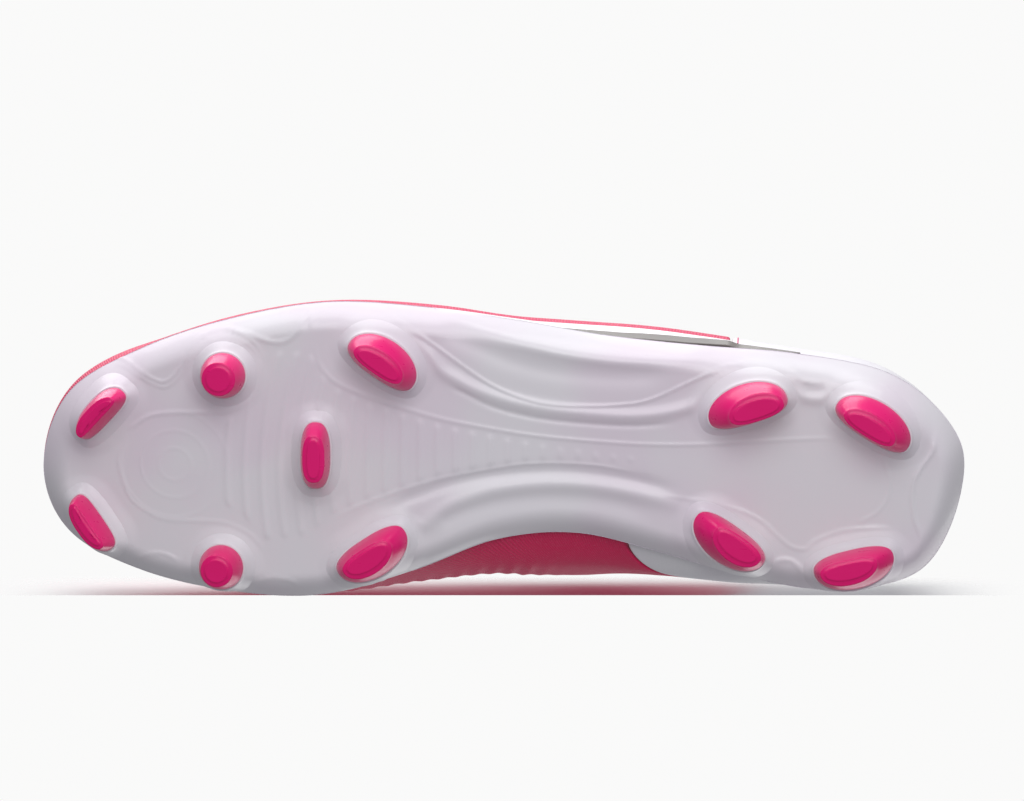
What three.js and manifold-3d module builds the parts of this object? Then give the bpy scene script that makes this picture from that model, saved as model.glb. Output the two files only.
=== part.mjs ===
// A low-cut football boot for firm ground, left foot: a moulded plate with eleven capped studs,
// a two-part upper, its stiffeners, linings and overlays, a tongue, a lace and a loose sockliner.
// +Z is up with the studs down, the toe points to -Y and the outer (lateral) side is +X.

import * as THREE from 'three';
import { mergeVertices } from 'three/addons/utils/BufferGeometryUtils.js';
import Module from 'manifold-3d';

const wasm = await Module();
wasm.setup();

// Driving sizes, in millimetres.
const LENGTH = 286;         // toe rim to heel rim of the plate
const BALL_WIDTH = 95;      // rim to rim across the ball of the foot
const UPPER_HEIGHT = 80;    // sole plane to the top of the throat
const STUD_HEIGHT = 8.6;    // coloured cap of each stud
const BOSS_HEIGHT = 3;      // white root that the cap stands on
const PLATE_WALL = 2.6;     // floor of the plate
const RIM_WALL = 1.6;       // top of the plate's rim
const RIM_SWEEP = 8;        // how far in from the edge the underside starts to rise
const TOE_SPRING = 0.00724; // how fast the plate lifts ahead of the ball
const ARCH_RISE = 2;        // lift of the plate under the arch
const UPPER_WALL = 1.6;     // knit and film of the upper
const COUNTER_WALL = 1.2;   // stiffeners at the heel and in the toe
const LINING_WALL = 3;      // padding of the collar
const OVERLAY_WALL = 0.6;   // films and reinforcements bonded outside
const BOARD_WALL = 1.2;     // lasting board
const SOCKLINER_WALL = 3;   // loose insole
const TONGUE_WALL = 3.6;    // padding of the tongue
const LACE_DIAMETER = 2.4;  // the lace, taken as round
const EYELET_CLEARANCE = 0.9;  // eyelet radius over the lace's own
const FIT_GAP = 0.3;        // between pieces that touch

// The ring of keys runs from the back of the heel along the lateral side to the toe and back
// along the medial side. Each key holds the plate's edge, the height of its rim, the point of
// the foot opening above it, and the two handles of the upper's profile between them.
// They are drawn for a boot of these sizes and follow the driving sizes above.
const DRAWN_LENGTH = 286;
const DRAWN_WIDTH = 95;
const DRAWN_HEIGHT = 80;
const KEYS = [
  // edge x, edge y, rim, open x, open y, open up, low out, low up, high out, high up
  [-8.5, 140.8, 11, -6, 127, 73, 3, 18, 7, -22],
  [9, 137.3, 10.5, 7, 123.5, 70, 3, 18, 7, -20],
  [24.5, 119, 9, 18, 110, 62, 3, 17, 6, -16],
  [31, 90, 8, 23.5, 88, 55, 3, 16, 5, -13],
  [33.5, 60, 8.5, 25, 62, 62, 4, 18, 6, -14],
  [36.5, 30, 9, 21, 38, 75, 5, 20, 11, -13],
  [41, 4, 9, 16, 14, 78, 6, 22, 17, -9],
  [45.5, -25, 8.5, 13, -8, 71, 8, 23, 22, -3],
  [47, -55, 8, 11, -27, 63, 9, 24, 26, 0],
  [41.5, -84, 8, 9, -42, 57, 10, 24, 29, -1],
  [31.8, -111, 8, 5.5, -51, 53.5, 11, 23, 34, -2],
  [17, -134.5, 8, 2, -55.5, 51.5, 12, 22, 40, -3],
  [-6, -142.6, 8, -2, -57, 51, 13, 22, 43, -3],
  [-25.5, -134, 8, -6, -55.5, 52, 12, 22, 40, -3],
  [-37.5, -112, 8, -9, -51, 54.5, 11, 23, 34, -2],
  [-42.5, -84, 8, -11.5, -42, 58.5, 11, 24, 29, -1],
  [-43, -55, 7.5, -13, -27, 65, 10, 24, 26, 0],
  [-36.5, -28, 6.5, -15, -8, 73, 14, 20, 25, -3],
  [-27, -3, 5.5, -17.5, 14, 80, 22, 13, 26, -9],
  [-25, 22, 5.5, -22, 38, 78, 23, 12, 22, -13],
  [-31, 48, 6.5, -28, 62, 66, 14, 15, 12, -14],
  [-39.5, 77, 8, -30.5, 88, 58, 6, 18, 8, -14],
  [-43, 104, 9, -28, 110, 63, 4, 19, 8, -16],
  [-36, 129, 10.5, -19, 123.5, 70, 3, 18, 7, -20],
];
const COUNT = KEYS.length;
const LAST = COUNT - 1;
const PER_KEY = 2;          // columns of facets between two keys
const PROFILE = [0, 0.1, 0.22, 0.36, 0.5, 0.64, 0.78, 0.9, 0.98];  // rows up the upper

// Places along the ring, counted in keys.
const VAMP_BACK_LATERAL = 3.67;
const VAMP_BACK_MEDIAL = 19.67;
const THROAT_TOP = 5.67;    // lateral end of the throat; the medial end is its mirror
const THROAT_FOOT = 9.33;
const EYELETS = [8.75, 8.2, 7.65, 7.1, 6.55, 6];
const EYELET_ROW = 0.9;     // where an eyelet sits on the upper's profile

// Studs: along and across are shares of the length and the ball width. The turn is from +Y
// towards +X. bow is the share of the width on the side that lies to the right of the turn.
const STUDS = [
  { name: 'stud_toe_lateral', along: -0.432, across: 0.129, turn: 47, size: [19.7, 8.4],
    tip: [16, 4.4], shift: [0, 0], bend: 1, square: 3, bow: 0.5 },
  { name: 'stud_toe_medial', along: -0.442, across: -0.236, turn: -54, size: [19.7, 8.4],
    tip: [16, 4.4], shift: [0, 0], bend: -1, square: 3, bow: 0.5 },
  { name: 'stud_fore_lateral', along: -0.301, across: 0.264, turn: 0, size: [14.1, 14.1],
    tip: [10, 10], shift: [0, 0], bend: 0, square: 2, bow: 0.5 },
  { name: 'stud_fore_medial', along: -0.3035, across: -0.365, turn: 0, size: [13.9, 13.9],
    tip: [9.6, 9.6], shift: [0, 0], bend: 0, square: 2, bow: 0.5 },
  { name: 'stud_center', along: -0.2025, across: 0.008, turn: 90, size: [20.8, 9.2],
    tip: [14.3, 6.4], shift: [0, 0], bend: 0, square: 3, bow: 0.5 },
  { name: 'stud_ball_lateral', along: -0.132, across: 0.309, turn: -35, size: [23.9, 12.6],
    tip: [17, 7], shift: [-1.1, 0.7], bend: 0, square: 2.6, bow: 0.62 },
  { name: 'stud_ball_medial', along: -0.143, across: -0.309, turn: 33, size: [24.4, 12.8],
    tip: [16.5, 8], shift: [-1.4, -0.8], bend: 0, square: 2.6, bow: 0.38 },
  { name: 'stud_heel_front_lateral', along: 0.262, across: 0.163, turn: 18, size: [25.2, 12.4],
    tip: [17, 8], shift: [2.5, 0.4], bend: 0, square: 2.6, bow: 0.62 },
  { name: 'stud_heel_rear_lateral', along: 0.3965, across: 0.107, turn: -32, size: [26, 12.2],
    tip: [17.5, 7], shift: [-1.2, 0.3], bend: 0, square: 2.6, bow: 0.62 },
  { name: 'stud_heel_front_medial', along: 0.2425, across: -0.2695, turn: -36, size: [25.4, 12.4],
    tip: [16.5, 8], shift: [2.2, -0.7], bend: 0, square: 2.6, bow: 0.38 },
  { name: 'stud_heel_rear_medial', along: 0.3765, across: -0.3495, turn: 13, size: [25.2, 12.4],
    tip: [17.5, 7.5], shift: [-1.7, -0.3], bend: 0, square: 2.6, bow: 0.38 },
];
const STUD_SIDES = 20;
const BOSS_SPREAD = 1.8;    // how far the root flares out at the plate
const BOSS_SHOULDER = 0.6;  // how far the root stands out round the cap
const BOSS_BURIED = 0.25;   // how deep the root starts in the plate's wall, as a share of it
const BOSS_WAIST = { spread: 0.35, down: 0.45 };  // where the flare turns, as shares
const CAP_WAIST = { taper: 0.45, down: 0.5 };     // where the cap's side bends, as shares
const TIP_CHAMFER = 0.6;

const SOLE_Z = STUD_HEIGHT + FIT_GAP + BOSS_HEIGHT;
const BALL_Y = -0.157 * LENGTH;   // the plate is flat behind this line and springs up ahead
const SPRING_POWER = 1.7;
const ARCH_FRONT = -0.07 * LENGTH;
const ARCH_BACK = 0.21 * LENGTH;

// ---- materials ----

const FINISHES = {
  plate: [0xd9d6de, 0.3],
  stud: [0xd8306f, 0.35],
  knit: [0xe23878, 0.7],
  quarter: [0xe9e8ec, 0.6],
  stiffener: [0x8f8b86, 0.6],
  lining: [0xd94a80, 0.9],
  film: [0xf0eff2, 0.4],
  stripe: [0x3c3a3d, 0.4],
  board: [0xb9a98f, 0.9],
  foam: [0x4a474d, 0.9],
  lace: [0xf2f0f3, 0.8],
};

function node(name, geometry, finish) {
  const [color, roughness] = FINISHES[finish];
  geometry.computeVertexNormals();
  const material = new THREE.MeshStandardMaterial({ color, roughness, metalness: 0 });
  const mesh = new THREE.Mesh(geometry, material);
  mesh.name = name;
  return mesh;
}

// ---- meshes from points and faces ----

function meshOf(points, faces) {
  const geometry = new THREE.BufferGeometry();
  const flat = points.flatMap((p) => [p.x, p.y, p.z]);
  geometry.setAttribute('position', new THREE.Float32BufferAttribute(flat, 3));
  geometry.setIndex(faces.flat());
  return geometry;
}

// Two triangles between the corners a-b of one row and c-d of the next.
function quad(a, b, c, d) {
  return [[a, b, d], [a, d, c]];
}

function solidOf(geometry) {
  const bare = new THREE.BufferGeometry();
  bare.setAttribute('position', geometry.getAttribute('position').clone());
  bare.setIndex(geometry.getIndex().clone());
  const merged = mergeVertices(bare, 1e-4);
  return new wasm.Manifold(new wasm.Mesh({
    numProp: 3,
    vertProperties: new Float32Array(merged.getAttribute('position').array),
    triVerts: new Uint32Array(merged.getIndex().array),
  }));
}

function geometryOf(solid) {
  const mesh = solid.getMesh();
  const geometry = new THREE.BufferGeometry();
  geometry.setAttribute('position', new THREE.BufferAttribute(mesh.vertProperties, 3));
  geometry.setIndex(new THREE.BufferAttribute(mesh.triVerts, 1));
  return geometry;
}

// Stacked closed rings of equal count, closed by a fan at each end. The first fan may have a
// hub of its own in its middle.
function loft(rings, hub = null) {
  const count = rings[0].length;
  const points = rings.flat();
  const faces = [];
  for (let r = 0; r + 1 < rings.length; r++) {
    for (let i = 0; i < count; i++) {
      const next = (i + 1) % count;
      faces.push(...quad(r * count + i, r * count + next, (r + 1) * count + i, (r + 1) * count + next));
    }
  }
  const top = (rings.length - 1) * count;
  for (let i = 1; i + 1 < count; i++) {
    faces.push([top, top + i, top + i + 1]);
    if (!hub) faces.push([0, i + 1, i]);
  }
  if (hub) {
    points.push(hub);
    for (let i = 0; i < count; i++) faces.push([points.length - 1, (i + 1) % count, i]);
  }
  return meshOf(points, faces);
}

// A sheet of rows by columns, closed between its outer and its inner side.
function closedSheet(outer, inner) {
  const rows = outer.length;
  const columns = outer[0].length;
  const points = [...outer.flat(), ...inner.flat()];
  const far = rows * columns;
  const at = (r, c) => r * columns + c;
  const faces = [];
  for (let r = 0; r + 1 < rows; r++) {
    for (let c = 0; c + 1 < columns; c++) {
      faces.push(...quad(at(r, c), at(r + 1, c), at(r, c + 1), at(r + 1, c + 1)));
      faces.push(...quad(far + at(r, c), far + at(r, c + 1), far + at(r + 1, c), far + at(r + 1, c + 1)));
    }
    faces.push(...quad(at(r, 0), far + at(r, 0), at(r + 1, 0), far + at(r + 1, 0)));
    const end = columns - 1;
    faces.push(...quad(at(r + 1, end), far + at(r + 1, end), at(r, end), far + at(r, end)));
  }
  for (let c = 0; c + 1 < columns; c++) {
    const last = rows - 1;
    faces.push(...quad(at(0, c + 1), far + at(0, c + 1), at(0, c), far + at(0, c)));
    faces.push(...quad(at(last, c), far + at(last, c), at(last, c + 1), far + at(last, c + 1)));
  }
  return meshOf(points, faces);
}

// ---- the ring of keys ----

// Value of one column of the keys at place k, smooth through the keys and closed on itself.
function keyed(column, k) {
  const wrapped = ((k % COUNT) + COUNT) % COUNT;
  const i = Math.floor(wrapped);
  const f = wrapped - i;
  const [a, b, c, d] = [i + LAST, i, i + 1, i + 2].map((j) => KEYS[j % COUNT][column]);
  return b + 0.5 * f * (c - a + f * (2 * a - 5 * b + 4 * c - d + f * (3 * (b - c) + d - a)));
}

function soleZ(y) {
  const ahead = Math.max(0, BALL_Y - y);
  const arch = THREE.MathUtils.clamp((y - ARCH_FRONT) / (ARCH_BACK - ARCH_FRONT), 0, 1);
  return SOLE_Z + TOE_SPRING * ahead ** SPRING_POWER + ARCH_RISE * Math.sin(Math.PI * arch) ** 2;
}

function soleSlope(y) {
  return Math.atan(soleZ(y + 0.5) - soleZ(y - 0.5));
}

function edgePoint(k) {
  const x = keyed(0, k) * BALL_WIDTH / DRAWN_WIDTH;
  const y = keyed(1, k) * LENGTH / DRAWN_LENGTH;
  return new THREE.Vector3(x, y, 0);
}

function edgeNormal(k) {
  const along = edgePoint(k + 0.02).sub(edgePoint(k - 0.02));
  return new THREE.Vector3(-along.y, along.x, 0).normalize();
}

// Opposite places share a centre on the middle line, which stops short of the heel and toe.
const FIRST_CENTRE = 2;
const LAST_CENTRE = 10;

function centrePoint(k) {
  const side = Math.min(k, COUNT - k);
  const held = THREE.MathUtils.clamp(side, FIRST_CENTRE, LAST_CENTRE);
  return edgePoint(held).add(edgePoint(COUNT - held)).multiplyScalar(0.5);
}

// ---- plate, lasting board and sockliner ----

const RING = COUNT * PER_KEY;

function insetRing(inset, height) {
  const ring = [];
  for (let i = 0; i < RING; i++) {
    const k = i / PER_KEY;
    const centre = centrePoint(k);
    const edge = edgePoint(k);
    const reach = edge.distanceTo(centre);
    const point = centre.clone().lerp(edge, Math.max(0, reach - inset) / reach);
    point.z = soleZ(point.y) + height(k, inset);
    ring.push(point);
  }
  return ring;
}

function halfwayRing(ring) {
  return ring.map((point, i) => {
    const middle = point.clone().lerp(centrePoint(i / PER_KEY), 0.5);
    const lift = point.z - soleZ(point.y);
    middle.z = soleZ(middle.y) + lift;
    return middle;
  });
}

// Closes the inside of a ring with strips from side to side; up is true for a face seen from +Z.
function ladder(start, up) {
  const faces = [];
  const half = RING / 2;
  for (let i = 0; i < half; i++) {
    const a = start + i;
    const b = start + i + 1;
    const c = start + ((RING - i) % RING);
    const d = start + RING - i - 1;
    const strip = i === 0 ? [[a, b, d]] : i === half - 1 ? [[a, b, c]] : [[a, b, d], [a, d, c]];
    faces.push(...(up ? strip.map(([p, q, r]) => [p, r, q]) : strip));
  }
  return faces;
}

// A tray: rings from the middle of the underside out to the rim and back to the middle on top.
function tray(under, over) {
  const rings = [...under, ...over];
  const points = rings.flat();
  const faces = [...ladder(0, false), ...ladder((rings.length - 1) * RING, true)];
  for (let r = 0; r + 1 < rings.length; r++) {
    for (let i = 0; i < RING; i++) {
      const next = (i + 1) % RING;
      faces.push(...quad(r * RING + i, (r + 1) * RING + i, r * RING + next, (r + 1) * RING + next));
    }
  }
  return meshOf(points, faces);
}

function rimHeight(k) {
  return keyed(2, k);
}

function underHeight(k, inset) {
  return rimHeight(k) * Math.max(0, 1 - inset / RIM_SWEEP) ** 2;
}

// Height of the plate's underside over any point, by the nearest place on its edge.
const SEARCH_STEP = 0.1;

function undersideZ(x, y) {
  let nearest = 0;
  let inset = Infinity;
  for (let k = 0; k < COUNT; k += SEARCH_STEP) {
    const edge = edgePoint(k);
    const gap = Math.hypot(edge.x - x, edge.y - y);
    if (gap < inset) [nearest, inset] = [k, gap];
  }
  return soleZ(y) + underHeight(nearest, inset);
}

function floorHeight(k, inset) {
  const sweep = RIM_SWEEP - RIM_WALL;
  const share = THREE.MathUtils.clamp(1 - (inset - RIM_WALL) / sweep, 0, 1);
  return PLATE_WALL + (rimHeight(k) - PLATE_WALL) * share ** 2;
}

const UNDER_RINGS = [0, 0.22, 0.52, 1];   // shares of the sweep, from the edge inwards
const OVER_RINGS = [0, 0.35, 1];

function plateBlank() {
  const insets = UNDER_RINGS.map((share) => share * RIM_SWEEP);
  const under = insets.map((inset) => insetRing(inset, underHeight)).reverse();
  const sweep = RIM_SWEEP - RIM_WALL;
  const over = OVER_RINGS.map((share) => insetRing(RIM_WALL + share * sweep, floorHeight));
  return tray([halfwayRing(under[0]), ...under], [...over, halfwayRing(over[over.length - 1])]);
}

function slab(inset, bottom, wall) {
  const under = insetRing(inset, () => bottom);
  const over = insetRing(inset, () => bottom + wall);
  return tray([halfwayRing(under), under], [over, halfwayRing(over)]);
}

// ---- studs ----

// Outline of a stud at one level, in its own frame: length along, width across.
function studRing(stud, length, width, z, shift, bend) {
  const ring = [];
  for (let i = 0; i < STUD_SIDES; i++) {
    const angle = 2 * Math.PI * i / STUD_SIDES;
    const c = Math.cos(angle);
    const s = Math.sin(angle);
    const bowed = (s > 0) === (stud.bow >= 0.5) && stud.bow !== 0.5;
    const power = 2 / (bowed ? 2 : stud.square);
    const depth = s > 0 ? stud.bow : 1 - stud.bow;
    const a = 0.5 * length * Math.sign(c) * Math.abs(c) ** power;
    const b = width * depth * Math.sign(s) * Math.abs(s) ** power + bend * (0.5 - c * c);
    ring.push([a, b, z, shift]);
  }
  const turn = THREE.MathUtils.degToRad(stud.turn);
  return ring.map(([a, b, level, [shiftY, shiftX]]) => new THREE.Vector3(
    a * Math.sin(turn) + b * Math.cos(turn) + shiftX,
    a * Math.cos(turn) - b * Math.sin(turn) + shiftY,
    level,
  ));
}

// A stud's frame: its foot on the plate's underside, tipped with the plate.
function studPlace(stud) {
  const y = stud.along * LENGTH;
  const matrix = new THREE.Matrix4().makeRotationX(soleSlope(y));
  return matrix.setPosition(stud.across * BALL_WIDTH, y, soleZ(y));
}

// The root of a stud: a mound that starts inside the plate's wall and follows its underside.
function bossGeometry(stud) {
  const [length, width] = stud.size;
  const still = [0, 0];
  const place = studPlace(stud);
  const ring = (margin, z) => studRing(stud, length + 2 * margin, width + 2 * margin, z, still, stud.bend)
    .map((point) => point.applyMatrix4(place));
  const buried = BOSS_BURIED * PLATE_WALL;
  const wide = ring(BOSS_SHOULDER + BOSS_SPREAD, 0)
    .map((p) => new THREE.Vector3(p.x, p.y, undersideZ(p.x, p.y) + buried));
  const hub = new THREE.Vector3(0, 0, buried).applyMatrix4(place);
  return loft([
    wide,
    ring(BOSS_SHOULDER + BOSS_WAIST.spread * BOSS_SPREAD, -BOSS_WAIST.down * BOSS_HEIGHT),
    ring(BOSS_SHOULDER, -BOSS_HEIGHT),
  ], hub);
}

function capGeometry(stud) {
  const [length, width] = stud.size;
  const [tipLength, tipWidth] = stud.tip;
  const top = -BOSS_HEIGHT - FIT_GAP;
  const level = (share) => top - share * STUD_HEIGHT;
  const mix = (from, to, share) => from + (to - from) * share;
  const still = [0, 0];
  const middle = stud.shift.map((value) => value * CAP_WAIST.down);
  const waist = [mix(length, tipLength, CAP_WAIST.taper), mix(width, tipWidth, CAP_WAIST.taper)];
  const rings = [
    studRing(stud, length, width, top, still, stud.bend),
    studRing(stud, ...waist, level(CAP_WAIST.down), middle, stud.bend),
    studRing(stud, tipLength, tipWidth, level(1 - TIP_CHAMFER / STUD_HEIGHT), stud.shift, stud.bend),
    studRing(stud, tipLength - 2 * TIP_CHAMFER, tipWidth - 2 * TIP_CHAMFER, level(1), stud.shift, stud.bend),
  ];
  return loft(rings);
}

function studMesh(stud) {
  const mesh = node(stud.name, capGeometry(stud), 'stud');
  mesh.applyMatrix4(studPlace(stud));
  return mesh;
}

function plateMesh() {
  let solid = solidOf(plateBlank());
  for (const stud of STUDS) {
    solid = solid.add(solidOf(bossGeometry(stud)));
  }
  return node('outsole_plate', geometryOf(solid), 'plate');
}

// ---- upper ----

// Point of the upper's outer face: t runs from the plate's rim, 0, to the foot opening, 1.
function upperPoint(k, t) {
  const out = edgeNormal(k);
  const lift = UPPER_HEIGHT / DRAWN_HEIGHT;
  const foot = edgePoint(k).addScaledVector(out, -(RIM_WALL + FIT_GAP));
  foot.z = soleZ(foot.y) + rimHeight(k) + FIT_GAP;
  const open = new THREE.Vector3(
    keyed(3, k) * BALL_WIDTH / DRAWN_WIDTH,
    keyed(4, k) * LENGTH / DRAWN_LENGTH,
    SOLE_Z + keyed(5, k) * lift,
  );
  const low = foot.clone().addScaledVector(out, keyed(6, k));
  low.z += keyed(7, k) * lift;
  const high = open.clone().addScaledVector(out, keyed(8, k));
  high.z += keyed(9, k) * lift;
  const s = 1 - t;
  return foot.multiplyScalar(s ** 3)
    .addScaledVector(low, 3 * s * s * t)
    .addScaledVector(high, 3 * s * t * t)
    .addScaledVector(open, t ** 3);
}

function upperNormal(k, t) {
  const step = 0.01;
  const along = upperPoint(k + step, t).sub(upperPoint(k - step, t));
  const up = upperPoint(k, Math.min(1, t + step)).sub(upperPoint(k, Math.max(0, t - step)));
  return up.cross(along).normalize();
}

function offUpper(k, t, offset) {
  return upperPoint(k, t).addScaledVector(upperNormal(k, t), offset);
}

// Columns between two places of the ring, on the shared grid so that layers stay parallel.
const MIN_COLUMN = 0.08;

function columnsBetween(from, to) {
  const columns = [from];
  for (let i = Math.floor(from * PER_KEY) + 1; i < to * PER_KEY - 1e-6; i++) {
    if (i / PER_KEY - from > MIN_COLUMN) columns.push(i / PER_KEY);
  }
  if (to - columns[columns.length - 1] < MIN_COLUMN) columns.pop();
  return [...columns, to];
}

// A layer that follows the upper: its outer face stands off by offset and its wall goes inward.
// rowsAt(k) gives the places up the profile.
function layer(from, to, rowsAt, offset, wall) {
  const columns = columnsBetween(from, to);
  const face = (depth) => {
    const strips = columns.map((k) => rowsAt(k).map((t) => offUpper(k, t, depth)));
    return strips[0].map((_, row) => strips.map((strip) => strip[row]));
  };
  return closedSheet(face(offset), face(offset - wall));
}

function rowsFrom(low, high) {
  return () => PROFILE.filter((t) => t >= low - 1e-6 && t <= high + 1e-6);
}

const SEAM = 0.012;         // half of the gap at the seams of the upper, in keys
const COUNTER = { reach: 3, rows: [0.1, 0.64] };     // reach is in keys to each side of the heel
const PUFF = { ends: [10, 14], rows: [0.1, 0.5] };
const LINING = { reach: 4, rows: [0.5, 1] };
const EYELET_RADIUS = LACE_DIAMETER / 2 + EYELET_CLEARANCE;

// A layer that wraps the back of the heel, as far to each side as its reach.
function heelLayer({ reach, rows }, offset, wall) {
  return layer(COUNT - reach, COUNT + reach, rowsFrom(...rows), offset, wall);
}

function punchEyelets(geometry, isMedial, isLateral) {
  let solid = solidOf(geometry);
  for (const k of EYELETS) {
    const places = [...(isLateral ? [k] : []), ...(isMedial ? [COUNT - k] : [])];
    for (const place of places) {
      const punch = new THREE.CylinderGeometry(EYELET_RADIUS, EYELET_RADIUS, 8, 10);
      const normal = upperNormal(place, EYELET_ROW);
      const tilt = new THREE.Quaternion().setFromUnitVectors(new THREE.Vector3(0, 1, 0), normal);
      punch.applyQuaternion(tilt);
      punch.translate(...upperPoint(place, EYELET_ROW));
      solid = solid.subtract(solidOf(punch));
    }
  }
  return geometryOf(solid);
}

function upperMeshes() {
  const full = rowsFrom(0, 1);
  const vamp = layer(VAMP_BACK_LATERAL + SEAM, VAMP_BACK_MEDIAL - SEAM, full, 0, UPPER_WALL);
  const rear = layer(VAMP_BACK_MEDIAL + SEAM, VAMP_BACK_LATERAL + COUNT - SEAM, full, 0, UPPER_WALL);
  const behind = -(UPPER_WALL + FIT_GAP);
  const counter = heelLayer(COUNTER, behind, COUNTER_WALL);
  const puff = layer(...PUFF.ends, rowsFrom(...PUFF.rows), behind, COUNTER_WALL);
  const lined = behind - COUNTER_WALL - FIT_GAP;
  const lining = heelLayer(LINING, lined, LINING_WALL);
  return [
    node('vamp', punchEyelets(vamp, true, true), 'knit'),
    node('heel_quarter', rear, 'quarter'),
    node('heel_counter', counter, 'stiffener'),
    node('toe_puff', puff, 'stiffener'),
    node('collar_lining', lining, 'lining'),
  ];
}

// ---- overlays ----

const OVER = FIT_GAP + OVERLAY_WALL;     // stand-off of an overlay's outer face
const EYESTAY = { overhang: 0.34, rows: [0.78, 0.98] };
const WING = { ends: [3.75, 8], low: 0.02, high: 0.08, rise: 0.26, rows: 3 };
const STRIPE = { ends: [3, 6.33], low: 0.05, high: 0.08, rise: 0.09, rows: 2 };
const TAB = { reach: 0.4, rows: [0.64, 0.98] };

// Rows of a band that is widest in its middle and narrow at both ends.
function bandRows(band, k) {
  const [from, to] = band.ends;
  const swell = Math.sin(Math.PI * THREE.MathUtils.clamp((k - from) / (to - from), 0, 1));
  const top = band.high + band.rise * swell;
  return Array.from({ length: band.rows + 1 }, (_, i) => band.low + (top - band.low) * i / band.rows);
}

function overlayMeshes() {
  const eyestayRows = rowsFrom(...EYESTAY.rows);
  const eyestayTop = THROAT_TOP - EYESTAY.overhang;
  const lateral = layer(eyestayTop, THROAT_FOOT, eyestayRows, OVER, OVERLAY_WALL);
  const medial = layer(COUNT - THROAT_FOOT, COUNT - eyestayTop, eyestayRows, OVER, OVERLAY_WALL);
  const wing = layer(...WING.ends, (k) => bandRows(WING, k), OVER, OVERLAY_WALL);
  const stripe = layer(...STRIPE.ends, (k) => bandRows(STRIPE, k), 2 * OVER, OVERLAY_WALL);
  const tab = heelLayer(TAB, 2 * OVER, 2 * OVERLAY_WALL);
  return [
    node('eyestay_lateral', punchEyelets(lateral, false, true), 'film'),
    node('eyestay_medial', punchEyelets(medial, true, false), 'film'),
    node('wing_lateral', wing, 'film'),
    node('stripe_lateral', stripe, 'stripe'),
    node('heel_tab', tab, 'lining'),
  ];
}

// ---- tongue and lace ----

const LACE_RADIUS = LACE_DIAMETER / 2;
const LACE_OVER = OVER + FIT_GAP + LACE_RADIUS;           // lace on top of an eyestay
const LACE_UNDER = -(UPPER_WALL + 2 * FIT_GAP + LACE_RADIUS);  // lace beneath the upper
const TONGUE_CLEARANCE = 1.2;
const TONGUE_UNDER = LACE_UNDER - LACE_RADIUS - TONGUE_CLEARANCE;  // top of the tongue
const THROAT_CROWN = 2.5;   // how far the tongue's middle stands over its edges
const TONGUE_FOOT = 10;     // where the tongue is stitched beneath the vamp
const TONGUE_TOP = { back: 30, up: 14, narrow: 0.3 };  // the free end beyond the throat
const TONGUE_ROOT = { step: 4, dip: 1, reach: 14, drop: 5 };  // its foot, ahead under the vamp
const TONGUE_EDGE = { foot: 0.74, widen: 0.14 };  // where its edges lie on the upper's profile
const TONGUE_PLACES = [TONGUE_FOOT, 9.5, 9, 8.5, 8, 7.5, 7, 6.5, 6, THROAT_TOP];

// One row across the tongue, from its lateral to its medial edge.
function tongueRow(k, depth) {
  const risen = (TONGUE_FOOT - k) / (TONGUE_FOOT - THROAT_TOP);
  const edge = TONGUE_EDGE.foot + TONGUE_EDGE.widen * risen;
  const sides = [k, COUNT - k].map((place) => [edge, (edge + 1) / 2, 1].map((t) => offUpper(place, t, depth)));
  const [left, right] = sides;
  const middle = [0.25, 0.5, 0.75].map((share) => {
    const point = left[2].clone().lerp(right[2], share);
    point.z += THROAT_CROWN * Math.sin(Math.PI * share);
    return point;
  });
  return [...left, ...middle, ...right.reverse()];
}

function tongueMesh() {
  const { step, dip, reach, drop } = TONGUE_ROOT;
  const face = (depth) => {
    const rows = TONGUE_PLACES.map((k) => tongueRow(k, depth));
    const foot = rows[0].map((p, i, row) => {
      const share = Math.sin(Math.PI * i / (row.length - 1));
      return new THREE.Vector3(p.x, p.y - step - reach * share, p.z - dip - drop * share);
    });
    rows.unshift(foot);
    const top = rows[rows.length - 1];
    for (const share of [0.5, 1]) {
      rows.push(top.map((p) => new THREE.Vector3(
        p.x * (1 - TONGUE_TOP.narrow * share),
        p.y + TONGUE_TOP.back * share,
        p.z + TONGUE_TOP.up * share,
      )));
    }
    return rows;
  };
  return node('tongue', closedSheet(face(TONGUE_UNDER), face(TONGUE_UNDER - TONGUE_WALL)), 'knit');
}

// How a leg of the lace leaves one edge of the throat and reaches the other, in steps between
// eyelets, and how far it stands over the line between them.
const LACE_LEAVE = 0.2;
const LACE_ARRIVE = 0.75;
const LACE_LIFT = { first: 2.5, others: 0.8, bar: 1 };
const LACE_TUCK = 0.95;     // where its ends lie on the upper's profile
const LACE_SIDES = 6;
const LACE_STEPS = 2;       // rings between two points

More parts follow.
